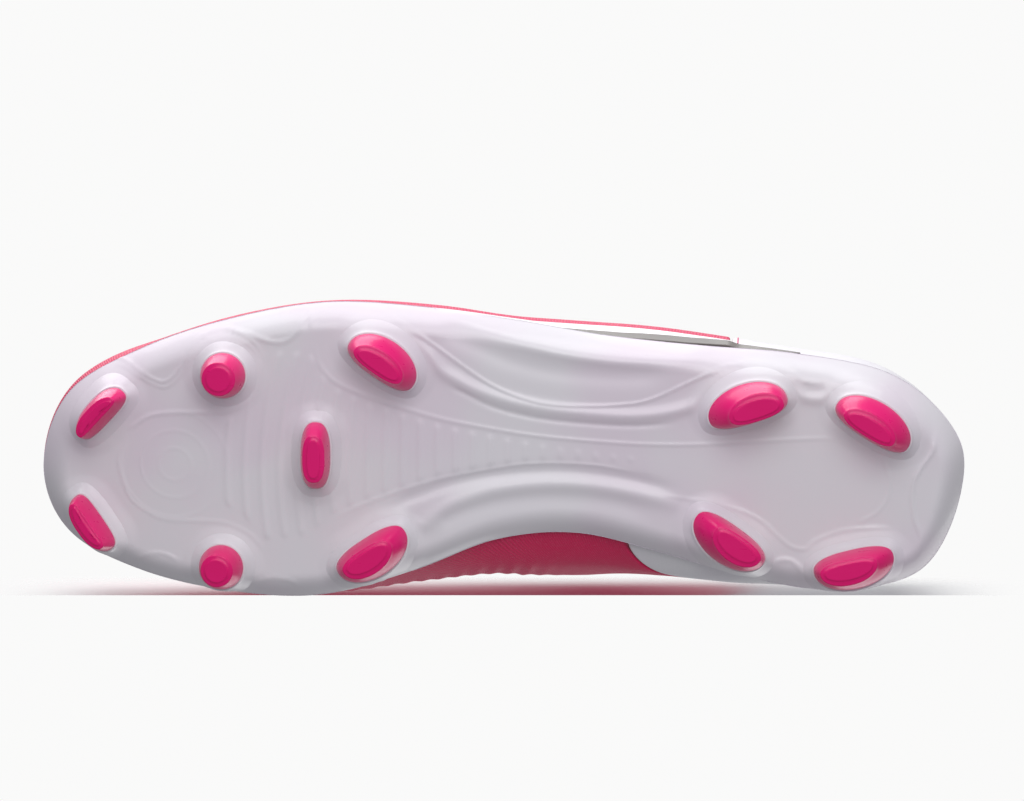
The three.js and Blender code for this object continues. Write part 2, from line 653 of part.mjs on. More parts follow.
// Points of one strand from the foot of the throat to its top. It goes down through its first
// eyelet, crosses the other strand and comes up through the opposite eyelet. From there each leg
// runs over the edge of the throat, and the last one is tucked under the far edge.
function strand(startMedial) {
  const last = EYELETS.length - 1;
  const place = (row, medial) => (medial ? COUNT - EYELETS[row] : EYELETS[row]);
  const points = [];
  let medial = startMedial;
  for (let row = 0; row <= last; row++) {
    const here = place(row, medial);
    const hole = [LACE_OVER, 0, LACE_UNDER].map((depth) => offUpper(here, EYELET_ROW, depth));
    points.push(...(row === 0 ? hole : hole.reverse()));
    const step = row < last ? EYELETS[row + 1] - EYELETS[row] : 0.5 * (EYELETS[last] - EYELETS[last - 1]);
    const leave = here + (medial ? -1 : 1) * LACE_LEAVE * step;
    const arrive = place(row, !medial) + (medial ? 1 : -1) * LACE_ARRIVE * step;
    const from = offUpper(leave, 1, row === 0 ? LACE_UNDER : LACE_OVER);
    const to = offUpper(arrive, 1, LACE_UNDER);
    const cross = from.clone().lerp(to, 0.5);
    const onTop = (row % 2 === 0) === startMedial;
    cross.z += THROAT_CROWN + (row === 0 ? LACE_LIFT.first : LACE_LIFT.others);
    if (onTop) cross.z += LACE_DIAMETER + FIT_GAP;
    points.push(from, cross, to);
    if (row === last) points.push(offUpper(arrive, LACE_TUCK, LACE_UNDER));
    medial = !medial;
  }
  return points;
}

function tube(points, radius, sides, stepsPerPoint) {
  const steps = (points.length - 1) * stepsPerPoint;
  const path = new THREE.CatmullRomCurve3(points, false, 'centripetal').getPoints(steps);
  const rings = [];
  let side = new THREE.Vector3(1, 0, 0);
  path.forEach((centre, i) => {
    const along = path[Math.min(i + 1, steps)].clone().sub(path[Math.max(i - 1, 0)]).normalize();
    side = side.clone().addScaledVector(along, -side.dot(along)).normalize();
    const other = along.clone().cross(side);
    rings.push(Array.from({ length: sides }, (_, j) => {
      const angle = 2 * Math.PI * j / sides;
      return centre.clone()
        .addScaledVector(side, radius * Math.cos(angle))
        .addScaledVector(other, radius * Math.sin(angle));
    }));
  });
  return loft(rings);
}

function laceMesh() {
  const up = strand(true);
  const down = strand(false).reverse();
  const bar = down[down.length - 1].clone().lerp(up[0], 0.5);
  bar.z += LACE_LIFT.bar;
  return node('lace', tube([...down, bar, ...up], LACE_RADIUS, LACE_SIDES, LACE_STEPS), 'lace');
}

// ---- the boot ----

const BOARD_INSET = 8.4;
const SOCKLINER_INSET = 7;
const boardBottom = PLATE_WALL + FIT_GAP;
const linerBottom = boardBottom + BOARD_WALL + FIT_GAP;

const boot = new THREE.Group();
boot.add(
  plateMesh(),
  ...STUDS.map(studMesh),
  node('lasting_board', slab(BOARD_INSET, boardBottom, BOARD_WALL), 'board'),
  node('sockliner', slab(SOCKLINER_INSET, linerBottom, SOCKLINER_WALL), 'foam'),
  ...upperMeshes(),
  ...overlayMeshes(),
  tongueMesh(),
  laceMesh(),
);

// The origin is the middle of the boot's box, on the ground.
const box = new THREE.Box3().setFromObject(boot);
const centre = box.getCenter(new THREE.Vector3());
boot.position.set(-centre.x, -centre.y, -box.min.z);

export default boot;
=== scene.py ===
import math

import bmesh
import bpy
import numpy as np
from mathutils import Matrix, Vector


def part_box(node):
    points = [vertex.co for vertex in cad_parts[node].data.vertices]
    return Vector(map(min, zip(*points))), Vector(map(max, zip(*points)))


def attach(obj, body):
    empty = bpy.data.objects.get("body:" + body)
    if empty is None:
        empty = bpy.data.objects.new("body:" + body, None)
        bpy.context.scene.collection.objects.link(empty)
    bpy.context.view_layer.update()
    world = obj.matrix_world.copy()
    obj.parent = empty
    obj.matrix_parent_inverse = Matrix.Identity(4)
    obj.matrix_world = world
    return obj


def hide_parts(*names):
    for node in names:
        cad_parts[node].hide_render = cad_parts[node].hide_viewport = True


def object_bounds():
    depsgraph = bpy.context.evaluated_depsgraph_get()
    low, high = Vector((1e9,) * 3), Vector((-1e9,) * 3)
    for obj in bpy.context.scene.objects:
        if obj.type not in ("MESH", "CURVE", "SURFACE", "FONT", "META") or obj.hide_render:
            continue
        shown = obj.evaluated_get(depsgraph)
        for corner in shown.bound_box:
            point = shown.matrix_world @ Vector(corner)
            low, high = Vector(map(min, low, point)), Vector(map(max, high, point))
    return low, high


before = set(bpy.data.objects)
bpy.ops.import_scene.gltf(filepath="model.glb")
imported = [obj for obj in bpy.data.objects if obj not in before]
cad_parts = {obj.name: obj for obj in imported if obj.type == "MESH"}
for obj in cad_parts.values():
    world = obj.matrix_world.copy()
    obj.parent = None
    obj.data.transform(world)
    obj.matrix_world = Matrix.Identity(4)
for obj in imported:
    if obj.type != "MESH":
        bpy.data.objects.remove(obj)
cadLow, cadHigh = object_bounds()
mm = 0.001
print("frame loaded")

# The camera looks up at the sole from below, from a little towards the lateral side.
shot = {
    "distance": 4.8,
    "lift": 8.7,         # degrees towards the lateral side
    "lens": 548.0,
    "across": 15.6,      # middle of the view, in mm
    "along": 3.2,
    "level": 12.0,
}


def placeCamera():
    lift = math.radians(shot["lift"])
    back = Vector((math.sin(lift), 0, -math.cos(lift)))
    up = Vector((math.cos(lift), 0, math.sin(lift)))
    right = Vector((0, 1, 0))
    aim = Vector((shot["across"], shot["along"], shot["level"])) * mm
    data = bpy.data.cameras.new("camera")
    data.lens = shot["lens"]
    data.sensor_width = 36
    camera = bpy.data.objects.new("camera", data)
    camera.matrix_world = Matrix.LocRotScale(
        aim + back * shot["distance"], Matrix((right, up, back)).transposed(), None)
    bpy.context.scene.collection.objects.link(camera)
    bpy.context.scene.camera = camera


placeCamera()
print("camera placed")


# Sizes of the boot, in mm.
boot = {
    "studHeight": 8.6,
    "bossHeight": 3.0,
    "plateWall": 2.6,
    "rimWall": 1.6,
    "rimSweep": 8.0,
    "toeSpring": 0.00724,
    "springPower": 1.7,
    "ballY": -44.9,
    "archRise": 2.0,
    "archFront": -20.02,
    "archBack": 60.06,
    "upperWall": 1.6,
    "counterWall": 1.2,
    "liningWall": 3.0,
    "overlayWall": 0.6,
    "boardWall": 1.2,
    "sockWall": 3.0,
    "tongueWall": 3.6,
    "laceRadius": 1.2,
    "eyeletRadius": 2.1,
    "fitGap": 0.3,
}
soleLevel = boot["studHeight"] + boot["fitGap"] + boot["bossHeight"]
overlayLift = boot["fitGap"] + boot["overlayWall"]

# One row for each key, from the back of the heel along the lateral side to the toe and back:
# edge x, edge y, rim, open x, open y, open up, low out, low up, high out, high up
keyRows = np.array([
    [-8.5, 140.8, 11, -6, 127, 73, 3, 18, 7, -22],
    [9, 137.3, 10.5, 7, 123.5, 70, 3, 18, 7, -20],
    [24.5, 119, 9, 18, 110, 62, 3, 17, 6, -16],
    [31, 90, 8, 23.5, 88, 55, 3, 16, 5, -13],
    [33.5, 60, 8.5, 25, 62, 62, 4, 18, 6, -14],
    [36.5, 30, 9, 21, 38, 75, 5, 20, 11, -13],
    [41, 4, 9, 16, 14, 78, 6, 22, 17, -9],
    [45.5, -25, 8.5, 13, -8, 71, 8, 23, 22, -3],
    [47, -55, 8, 11, -27, 63, 9, 24, 26, 0],
    [41.5, -84, 8, 9, -42, 57, 10, 24, 29, -1],
    [31.8, -111, 8, 5.5, -51, 53.5, 11, 23, 34, -2],
    [17, -134.5, 8, 2, -55.5, 51.5, 12, 22, 40, -3],
    [-6, -142.6, 8, -2, -57, 51, 13, 22, 43, -3],
    [-25.5, -134, 8, -6, -55.5, 52, 12, 22, 40, -3],
    [-37.5, -112, 8, -9, -51, 54.5, 11, 23, 34, -2],
    [-42.5, -84, 8, -11.5, -42, 58.5, 11, 24, 29, -1],
    [-43, -55, 7.5, -13, -27, 65, 10, 24, 26, 0],
    [-36.5, -28, 6.5, -15, -8, 73, 14, 20, 25, -3],
    [-27, -3, 5.5, -17.5, 14, 80, 22, 13, 26, -9],
    [-25, 22, 5.5, -22, 38, 78, 23, 12, 22, -13],
    [-31, 48, 6.5, -28, 62, 66, 14, 15, 12, -14],
    [-39.5, 77, 8, -30.5, 88, 58, 6, 18, 8, -14],
    [-43, 104, 9, -28, 110, 63, 4, 19, 8, -16],
    [-36, 129, 10.5, -19, 123.5, 70, 3, 18, 7, -20],
])
keyCount = len(keyRows)
vampBack = (3.67, 19.67)
throatTop = 5.67
throatFoot = 9.33
eyelets = [8.75, 8.2, 7.65, 7.1, 6.55, 6.0]
eyeletRow = 0.9

# name, along, across, turn, length, width, tip length, tip width, shift y, shift x, bend, square, bow
studRows = [
    ("stud_toe_lateral", -123.55, 12.26, 47, 19.7, 8.4, 16, 4.4, 0, 0, 1, 2.6, 0.5),
    ("stud_toe_medial", -126.41, -22.42, -54, 19.7, 8.4, 16, 4.4, 0, 0, -1, 2.6, 0.5),
    ("stud_fore_lateral", -86.09, 25.08, 0, 14.1, 14.1, 10, 10, 0, 0, 0, 2, 0.5),
    ("stud_fore_medial", -86.80, -34.68, 0, 13.9, 13.9, 9.6, 9.6, 0, 0, 0, 2, 0.5),
    ("stud_center", -57.92, 0.76, 90, 20.8, 9.2, 14.3, 6.4, 0, 0, 0, 2.6, 0.5),
    ("stud_ball_lateral", -37.75, 29.36, -35, 23.9, 12.6, 17, 7, -1.1, 0.7, 0, 2.6, 0.62),
    ("stud_ball_medial", -40.90, -29.36, 33, 24.4, 12.8, 16.5, 8, -1.4, -0.8, 0, 2.6, 0.38),
    ("stud_heel_front_lateral", 74.93, 15.49, 18, 25.2, 12.4, 17, 8, 2.5, 0.4, 0, 2.6, 0.62),
    ("stud_heel_rear_lateral", 113.40, 10.17, -32, 26, 12.2, 17.5, 7, -1.2, 0.3, 0, 2.6, 0.62),
    ("stud_heel_front_medial", 69.36, -25.60, -36, 25.4, 12.4, 16.5, 8, 2.2, -0.7, 0, 2.6, 0.38),
    ("stud_heel_rear_medial", 107.68, -33.20, 13, 25.2, 12.4, 17.5, 7.5, -1.7, -0.3, 0, 2.6, 0.38),
]
studFields = ("name", "y", "x", "turn", "length", "width", "tipLength", "tipWidth",
              "shiftY", "shiftX", "bend", "square", "bow")
studs = [dict(zip(studFields, row)) for row in studRows]


def unit(v):
    return v / np.maximum(np.linalg.norm(v, axis=-1, keepdims=True), 1e-12)


def smooth(low, high, value):
    share = np.clip((np.asarray(value, float) - low) / (high - low), 0, 1)
    return share * share * (3 - 2 * share)


# The smooth curve from b to c, a share f of the way, with a and d as its neighbours.
def eased(a, b, c, d, f):
    return b + 0.5 * f * (c - a + f * (2 * a - 5 * b + 4 * c - d + f * (3 * (b - c) + d - a)))


def keyed(column, k):
    k = np.asarray(k, float) % keyCount
    i = np.floor(k).astype(int)
    return eased(*(keyRows[(i + j) % keyCount, column] for j in (-1, 0, 1, 2)), k - i)


def soleZ(y):
    y = np.asarray(y, float)
    ahead = np.maximum(0, boot["ballY"] - y)
    arch = np.clip((y - boot["archFront"]) / (boot["archBack"] - boot["archFront"]), 0, 1)
    return (soleLevel + boot["toeSpring"] * ahead ** boot["springPower"]
            + boot["archRise"] * np.sin(np.pi * arch) ** 2)


def plainEdge(k):
    return np.stack([keyed(0, k), keyed(1, k)], -1)


# How far the outline stands out past its plain form: place on the ring and mm.
outline = [(0, 0.9), (0.6, 0.4), (1, 0), (12, 0), (12.5, 1.0), (13, 1.7), (14, 0.6), (15, 1.5),
           (15.7, 1.6), (16.5, 0.5), (17, 0), (22.6, 0), (23.1, 0.7), (23.5, 1.7), (24, 0.9)]


nearby = 0.02          # step along the ring that gives a direction, in keys
soften = 0.15          # step over which a table's corners are rounded, in keys


def rounded(table, k):
    places, sizes = np.array(table).T
    k = np.asarray(k, float)
    return sum(np.interp((k + soften * i) % keyCount, places, sizes) for i in range(-2, 3)) / 5


def edgePoint(k):
    along = plainEdge(np.asarray(k) + nearby) - plainEdge(np.asarray(k) - nearby)
    out = unit(np.stack([-along[..., 1], along[..., 0]], -1))
    return plainEdge(k) + out * rounded(outline, k)[..., None]


def edgeNormal(k):
    along = edgePoint(np.asarray(k) + nearby) - edgePoint(np.asarray(k) - nearby)
    return unit(np.stack([-along[..., 1], along[..., 0]], -1))


def centrePoint(k):
    k = np.asarray(k, float)
    held = np.clip(np.minimum(k, keyCount - k), 2, 10)
    return (edgePoint(held) + edgePoint(keyCount - held)) / 2


def rimHeight(k):
    return keyed(2, k)


def underHeight(k, inset):
    return rimHeight(k) * np.maximum(0, 1 - inset / boot["rimSweep"]) ** 2


# How far the soft upper stands out past its plain form: place on the ring and mm.
fullness = [(0, 0), (3.2, -0.3), (3.6, 0.5), (4, 1.0), (4.6, 1.5), (5, 0.8), (5.65, -0.5), (6.2, -2.0),
            (6.6, -1.9), (7.8, -2.6), (8.8, -2.2), (10, -2.5), (10.6, -0.9), (11.3, 0), (15.6, 0),
            (16.5, 0.9), (17.4, 2.5), (18.1, 3.5), (19.3, 3.7), (20.1, 4.3), (20.6, 4.2), (21.2, 2.4),
            (22, 0.6), (23, 0), (24, 0)]


def upperSwell(k, t):
    return rounded(fullness, k) * smooth(0, 0.2, t) * smooth(0.95, 0.5, t)


def upperPoint(k, t):
    k, t = np.broadcast_arrays(np.asarray(k, float), np.asarray(t, float))
    out = edgeNormal(k)
    foot = edgePoint(k) - out * (boot["rimWall"] + boot["fitGap"])
    footZ = soleZ(foot[..., 1]) + rimHeight(k) + boot["fitGap"]
    opening = np.stack([keyed(3, k), keyed(4, k)], -1)
    openZ = soleLevel + keyed(5, k)
    low = foot + out * keyed(6, k)[..., None]
    high = opening + out * keyed(8, k)[..., None]
    s = (1 - t)
    weights = (s ** 3, 3 * s * s * t, 3 * s * t * t, t ** 3)
    flat = sum(w[..., None] * p for w, p in zip(weights, (foot, low, high, opening)))
    flat = flat + out * upperSwell(k, t)[..., None]
    z = sum(w * p for w, p in zip(weights, (footZ, footZ + keyed(7, k), openZ + keyed(9, k), openZ)))
    return np.concatenate([flat, z[..., None]], -1)


def upperNormal(k, t):
    step = 0.01
    k, t = np.broadcast_arrays(np.asarray(k, float), np.asarray(t, float))
    along = upperPoint(k + step, t) - upperPoint(k - step, t)
    up = upperPoint(k, np.minimum(1, t + step)) - upperPoint(k, np.maximum(0, t - step))
    return unit(np.cross(up, along))


def offUpper(k, t, offset):
    return upperPoint(k, t) + upperNormal(k, t) * np.asarray(offset, float)[..., None]


# The model's own frame starts at the middle of its box: the plate's box gives the step.
drawnEdge = plainEdge(np.arange(2 * keyCount) / 2)
plateLow, plateHigh = (np.array(corner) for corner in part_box("outsole_plate"))
shift = np.array([
    (plateLow[0] + plateHigh[0]) / 2 - (drawnEdge[:, 0].min() + drawnEdge[:, 0].max()) / 2 * mm,
    (plateLow[1] + plateHigh[1]) / 2 - (drawnEdge[:, 1].min() + drawnEdge[:, 1].max()) / 2 * mm,
    0.0,
])
print("frame shift in mm", np.round(shift / mm, 3))


def addObject(name, mesh):
    piece = bpy.data.objects.new(name, mesh)
    bpy.context.scene.collection.objects.link(piece)
    return piece


def meshFrom(name, points, faces, uvs=None, sharp=50):
    mesh = bpy.data.meshes.new(name)
    metres = np.asarray(points, float).reshape(-1, 3) * mm + shift
    mesh.from_pydata(metres.tolist(), [], [list(f) for f in faces])
    if uvs is not None:
        layer = mesh.uv_layers.new(name="flow")
        loops = np.empty(len(mesh.loops), dtype=np.int64)
        mesh.loops.foreach_get("vertex_index", loops)
        layer.data.foreach_set("uv", np.asarray(uvs, float).reshape(-1, 2)[loops].ravel())
    tidyMesh(mesh, sharp)
    return mesh


def tidyMesh(mesh, sharp=50):
    work = bmesh.new()
    work.from_mesh(mesh)
    bmesh.ops.remove_doubles(work, verts=work.verts, dist=2e-6)
    bmesh.ops.dissolve_degenerate(work, edges=work.edges, dist=1e-7)
    bmesh.ops.recalc_face_normals(work, faces=work.faces)
    work.to_mesh(mesh)
    work.free()
    mesh.shade_smooth()
    mesh.set_sharp_from_angle(angle=math.radians(sharp))


# Quads of a grid of rows by columns; around closes the columns on themselves.
def gridFaces(rows, columns, around=False, start=0):
    r = np.arange(rows - 1)[:, None]
    c = np.arange(columns if around else columns - 1)[None, :]
    n = (c + 1) % columns
    a, b = r * columns + c, r * columns + n
    d, e = a + columns, b + columns
    return (np.stack([a, b, e, d], -1).reshape(-1, 4) + start).tolist()


# A closed sheet between an outer and an inner grid of points.
def sheetMesh(name, outer, inner, uvs, sharp=50):
    rows, columns = outer.shape[:2]
    far = rows * columns
    faces = gridFaces(rows, columns)
    faces += [[i + far for i in reversed(f)] for f in gridFaces(rows, columns)]
    border = list(range(columns))
    border += [r * columns + columns - 1 for r in range(1, rows)]
    border += [(rows - 1) * columns + c for c in range(columns - 2, -1, -1)]
    border += [r * columns for r in range(rows - 2, 0, -1)]
    for i, here in enumerate(border):
        after = border[(i + 1) % len(border)]
        faces.append([after, here, here + far, after + far])
    points = np.concatenate([outer.reshape(-1, 3), inner.reshape(-1, 3)])
    both = np.concatenate([uvs.reshape(-1, 2)] * 2)
    return meshFrom(name, points, faces, both, sharp)


# Closed rings of equal count, the first and the last one closed by a fan.
def loftFaces(rings, columns, start=0):
    faces = gridFaces(rings, columns, True, start)
    last = start + (rings - 1) * columns
    faces.append([start + i for i in reversed(range(columns))])
    faces.append([last + i for i in range(columns)])
    return faces


def flowUv(points):
    across = np.linalg.norm(np.diff(points, axis=1), axis=-1)
    up = np.linalg.norm(np.diff(points, axis=0), axis=-1)
    u = np.concatenate([np.zeros((points.shape[0], 1)), np.cumsum(across, 1)], 1)
    v = np.concatenate([np.zeros((1, points.shape[1])), np.cumsum(up, 0)], 0)
    middle = u[len(u) // 2]
    return np.stack([np.broadcast_to(middle, u.shape), v], -1) * mm


# Points on smooth curves through a few given ones.
def curveThrough(points, count):
    p = np.asarray(points, float)
    p = np.concatenate([[2 * p[0] - p[1]], p, [2 * p[-1] - p[-2]]])
    s = np.linspace(0, len(p) - 3 - 1e-9, count)
    i = np.floor(s).astype(int)
    return eased(p[i], p[i + 1], p[i + 2], p[i + 3], (s - i)[:, None])


# A socket that can be used in plain arithmetic: each operator adds its Math node.
class Wire:
    def __init__(self, finish, socket):
        self.finish = finish
        self.socket = socket

    def sum(self, operation, first, second):
        node = self.finish.node("ShaderNodeMath", {"operation": operation}, {0: first, 1: second})
        return Wire(self.finish, node.outputs[0])

    def __add__(self, other):
        return self.sum("ADD", self, other)

    def __radd__(self, other):
        return self.sum("ADD", other, self)

    def __sub__(self, other):
        return self.sum("SUBTRACT", self, other)

    def __rsub__(self, other):
        return self.sum("SUBTRACT", other, self)

    def __mul__(self, other):
        return self.sum("MULTIPLY", self, other)


class NodeTree:
    def node(self, kind, settings=None, values=None):
        node = self.tree.nodes.new(kind)
        for key, value in (settings or {}).items():
            setattr(node, key, value)
        for key, value in (values or {}).items():
            source = value.socket if isinstance(value, Wire) else value
            if isinstance(source, bpy.types.NodeSocket):
                self.tree.links.new(source, node.inputs[key])
            else:
                node.inputs[key].default_value = source
        return node


class Finish(NodeTree):
    def __init__(self, name, **fixed):
        self.material = bpy.data.materials.new(name)
        self.material.use_nodes = True
        self.tree = self.material.node_tree
        self.shader = self.tree.nodes["Principled BSDF"]
        for socket, value in fixed.items():
            self.shader.inputs[socket].default_value = value

    def out(self, kind, settings=None, values=None, output=0):
        return Wire(self, self.node(kind, settings, values).outputs[output])

    # Object coordinates, or the piece's own map that runs along its surface.
    def where(self, along=False):
        if along:
            return self.out("ShaderNodeUVMap", {"uv_map": "flow"})
        return self.out("ShaderNodeTexCoord", output="Object")

    def noise(self, scale, detail=3.0, along=False, stretch=None):
        at = self.where(along)
        if stretch:
            at = self.out("ShaderNodeMapping", None, {"Vector": at, "Scale": stretch})
        return self.out("ShaderNodeTexNoise", None, {"Vector": at, "Scale": scale, "Detail": detail})

    def wave(self, scale, direction, distortion=0.0):
        values = {"Vector": self.where(True), "Scale": scale, "Distortion": distortion, "Detail Scale": 2.0}
        return self.out("ShaderNodeTexWave", {"bands_direction": direction}, values, 1)

    def band(self, value, low, high):
        settings = {"interpolation_type": "SMOOTHSTEP"}
        values = {"Value": value, "From Min": low, "From Max": high}
        return self.out("ShaderNodeMapRange", settings, values)

    def mixColours(self, factor, first, second):
        settings = {"data_type": "RGBA"}
        return self.out("ShaderNodeMix", settings, {0: factor, 6: first, 7: second}, 2)

    def feed(self, socket, value):
        self.tree.links.new(value.socket, self.shader.inputs[socket])

    def bump(self, height, strength, distance):
        values = {"Height": height, "Strength": strength, "Distance": distance}
        self.feed("Normal", self.out("ShaderNodeBump", None, values))


def srgb(red, green, blue):
    def linear(value):
        value /= 255
        return value / 12.92 if value <= 0.04045 else ((value + 0.055) / 1.055) ** 2.4
    return (linear(red), linear(green), linear(blue), 1.0)


plateLook = {
    "colour": srgb(228, 224, 231),
    "tint": srgb(227, 216, 228),
    "roughness": 0.38,
    "coat": 0.2,
}


def plateFinish():
    finish = Finish("pearl_plate", **{"Coat Roughness": 0.12, "IOR": 1.48, "Coat Weight": plateLook["coat"]})
    cloud = finish.noise(22.0, 2.0)
    fine = finish.noise(900.0, 2.0)
    mixed = finish.mixColours(finish.band(cloud, 0.42, 0.66), plateLook["colour"], plateLook["tint"])
    finish.feed("Base Color", mixed)
    finish.feed("Roughness", plateLook["roughness"] + (fine - 0.5) * 0.08 + (cloud - 0.5) * 0.08)
    finish.bump(finish.noise(260.0, 2.0) * 0.7 + fine * 0.3, 0.06, 0.0002)
    return finish.material


studLook = {
    "colour": srgb(240, 20, 124),
    "deep": srgb(228, 10, 108),
    "roughness": 0.3,
}


def studFinish():
    finish = Finish("stud_pink", **{"Coat Roughness": 0.2, "Coat Weight": 0.12, "Specular IOR Level": 0.35})
    cloud = finish.noise(60.0, 3.0)
    scuff = finish.noise(700.0, 2.0, stretch=(1, 0.2, 1))
    finish.feed("Base Color", finish.mixColours(cloud, studLook["deep"], studLook["colour"]))
    finish.feed("Roughness", studLook["roughness"] + (scuff - 0.5) * 0.14)
    finish.bump(finish.noise(260.0, 2.0), 0.03, 0.0002)
    return finish.material


knitLook = {
    "colour": srgb(232, 20, 100),
    "dark": srgb(206, 8, 74),
    "fleck": srgb(250, 170, 205),
}


def knitFinish(name="pink_knit", pitch=330.0, relief=0.5):
    finish = Finish(name, **{"Sheen Weight": 0.06, "Coat Weight": 0.05, "Coat Roughness": 0.3})
    rib = finish.wave(pitch, "X", 0.4)
    course = finish.wave(pitch * 1.6, "Y", 0.6)
    fleck = finish.band(finish.noise(2600.0, 2.0, True), 0.6, 0.72)
    yarn = rib * 0.6 + course * 0.4
    body = finish.mixColours(yarn, knitLook["dark"], knitLook["colour"])
    finish.feed("Base Color", finish.mixColours(fleck * 0.3, body, knitLook["fleck"]))
    finish.feed("Roughness", 0.42 + yarn * 0.2)
    finish.bump(yarn, relief, 0.0004)
    return finish.material


# A smooth coated sheet with a fine pressed grain.
def coatedFinish(name, colour, second, roughness, grain=1500.0, relief=0.15):
    finish = Finish(name, **{"Coat Weight": 0.1, "Coat Roughness": 0.3})
    cloud = finish.noise(40.0, 3.0)
    fine = finish.out("ShaderNodeTexVoronoi", None, {"Vector": finish.where(), "Scale": grain})
    finish.feed("Base Color", finish.mixColours(finish.band(cloud, 0.35, 0.7), colour, second))
    finish.feed("Roughness", roughness + (cloud - 0.5) * 0.15)
    finish.bump(fine * 0.6 + finish.noise(grain * 0.6, 2.0) * 0.4, relief, 0.00025)
    return finish.material


# A plain weave along the piece's own map.
def wovenFinish(name, colour, second, pitch, relief=0.6, roughness=0.75, sheen=0.25):
    finish = Finish(name, **{"Sheen Weight": sheen})
    over = finish.wave(pitch, "X")
    under = finish.wave(pitch, "Y")
    weave = over * under + (1 - over) * (1 - under)
    fuzz = finish.noise(3200.0, 3.0)
    finish.feed("Base Color", finish.mixColours(weave * 0.7 + fuzz * 0.3, second, colour))
    finish.feed("Roughness", roughness + (fuzz - 0.5) * 0.2)
    finish.bump(weave * 0.8 + fuzz * 0.2, relief, 0.00035)
    return finish.material


finishes = {
    "plate": plateFinish(),
    "stud": studFinish(),
    "knit": knitFinish(),
    "tongue": knitFinish("tongue_knit", 420.0, 0.6),
    "quarter": coatedFinish("white_quarter", srgb(236, 234, 239), srgb(226, 222, 230), 0.5),
    "film": coatedFinish("white_film", srgb(240, 238, 243), srgb(230, 227, 234), 0.36, 2200.0, 0.1),
    "stripe": coatedFinish("dark_stripe", srgb(96, 90, 86), srgb(116, 110, 106), 0.4, 2200.0, 0.12),
    "stiffener": coatedFinish("stiffener_sheet", srgb(150, 146, 140), srgb(128, 124, 118), 0.6, 900.0, 0.3),
    "lining": wovenFinish("pink_lining", srgb(206, 48, 108), srgb(160, 24, 76), 520.0, 0.5, 0.85, 0.4),
    "webbing": wovenFinish("pink_webbing", srgb(214, 36, 100), srgb(150, 16, 66), 420.0, 0.8),
    "board": wovenFinish("board_cloth", srgb(196, 188, 172), srgb(160, 150, 134), 380.0, 0.4),
    "foam": wovenFinish("sock_cloth", srgb(72, 68, 74), srgb(46, 43, 48), 460.0, 0.5, 0.9, 0.4),
    "lace": wovenFinish("white_lace", srgb(244, 242, 246), srgb(206, 203, 210), 700.0, 0.9, 0.7),
    "thread": wovenFinish("stitch_thread", srgb(240, 236, 242), srgb(200, 196, 204), 2400.0, 0.5),
    "pinkThread": wovenFinish("pink_thread", srgb(236, 70, 134), srgb(186, 30, 84), 2400.0, 0.5),
}
print("materials made:", len(finishes))


def setUp(piece, look, slotName, *stands, body="shoe"):
    piece.data.materials.clear()
    piece.data.materials.append(finishes[look])
    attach(piece, body)
    if stands:
        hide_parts(*stands)
    return piece


plate = {
    "columns": 1040,        # round the edge
    "rimRows": 12,
    "floorRows": 54,
    "moundReach": 6.5,      # how far the moulding swells round a stud
    "moundHeight": 0.9,
    "ribPitch": 5.42,
    "ribFirst": -85.7,
    "ribLast": 39.5,
    "ribHeight": 0.3,
    "ribWidth": 0.9,
    "taper": 0.12,          # share of a line at each end over which it fades
    "clear": (1.5, 5.5),    # from a stud to the first trace of a line, and to its full height
}

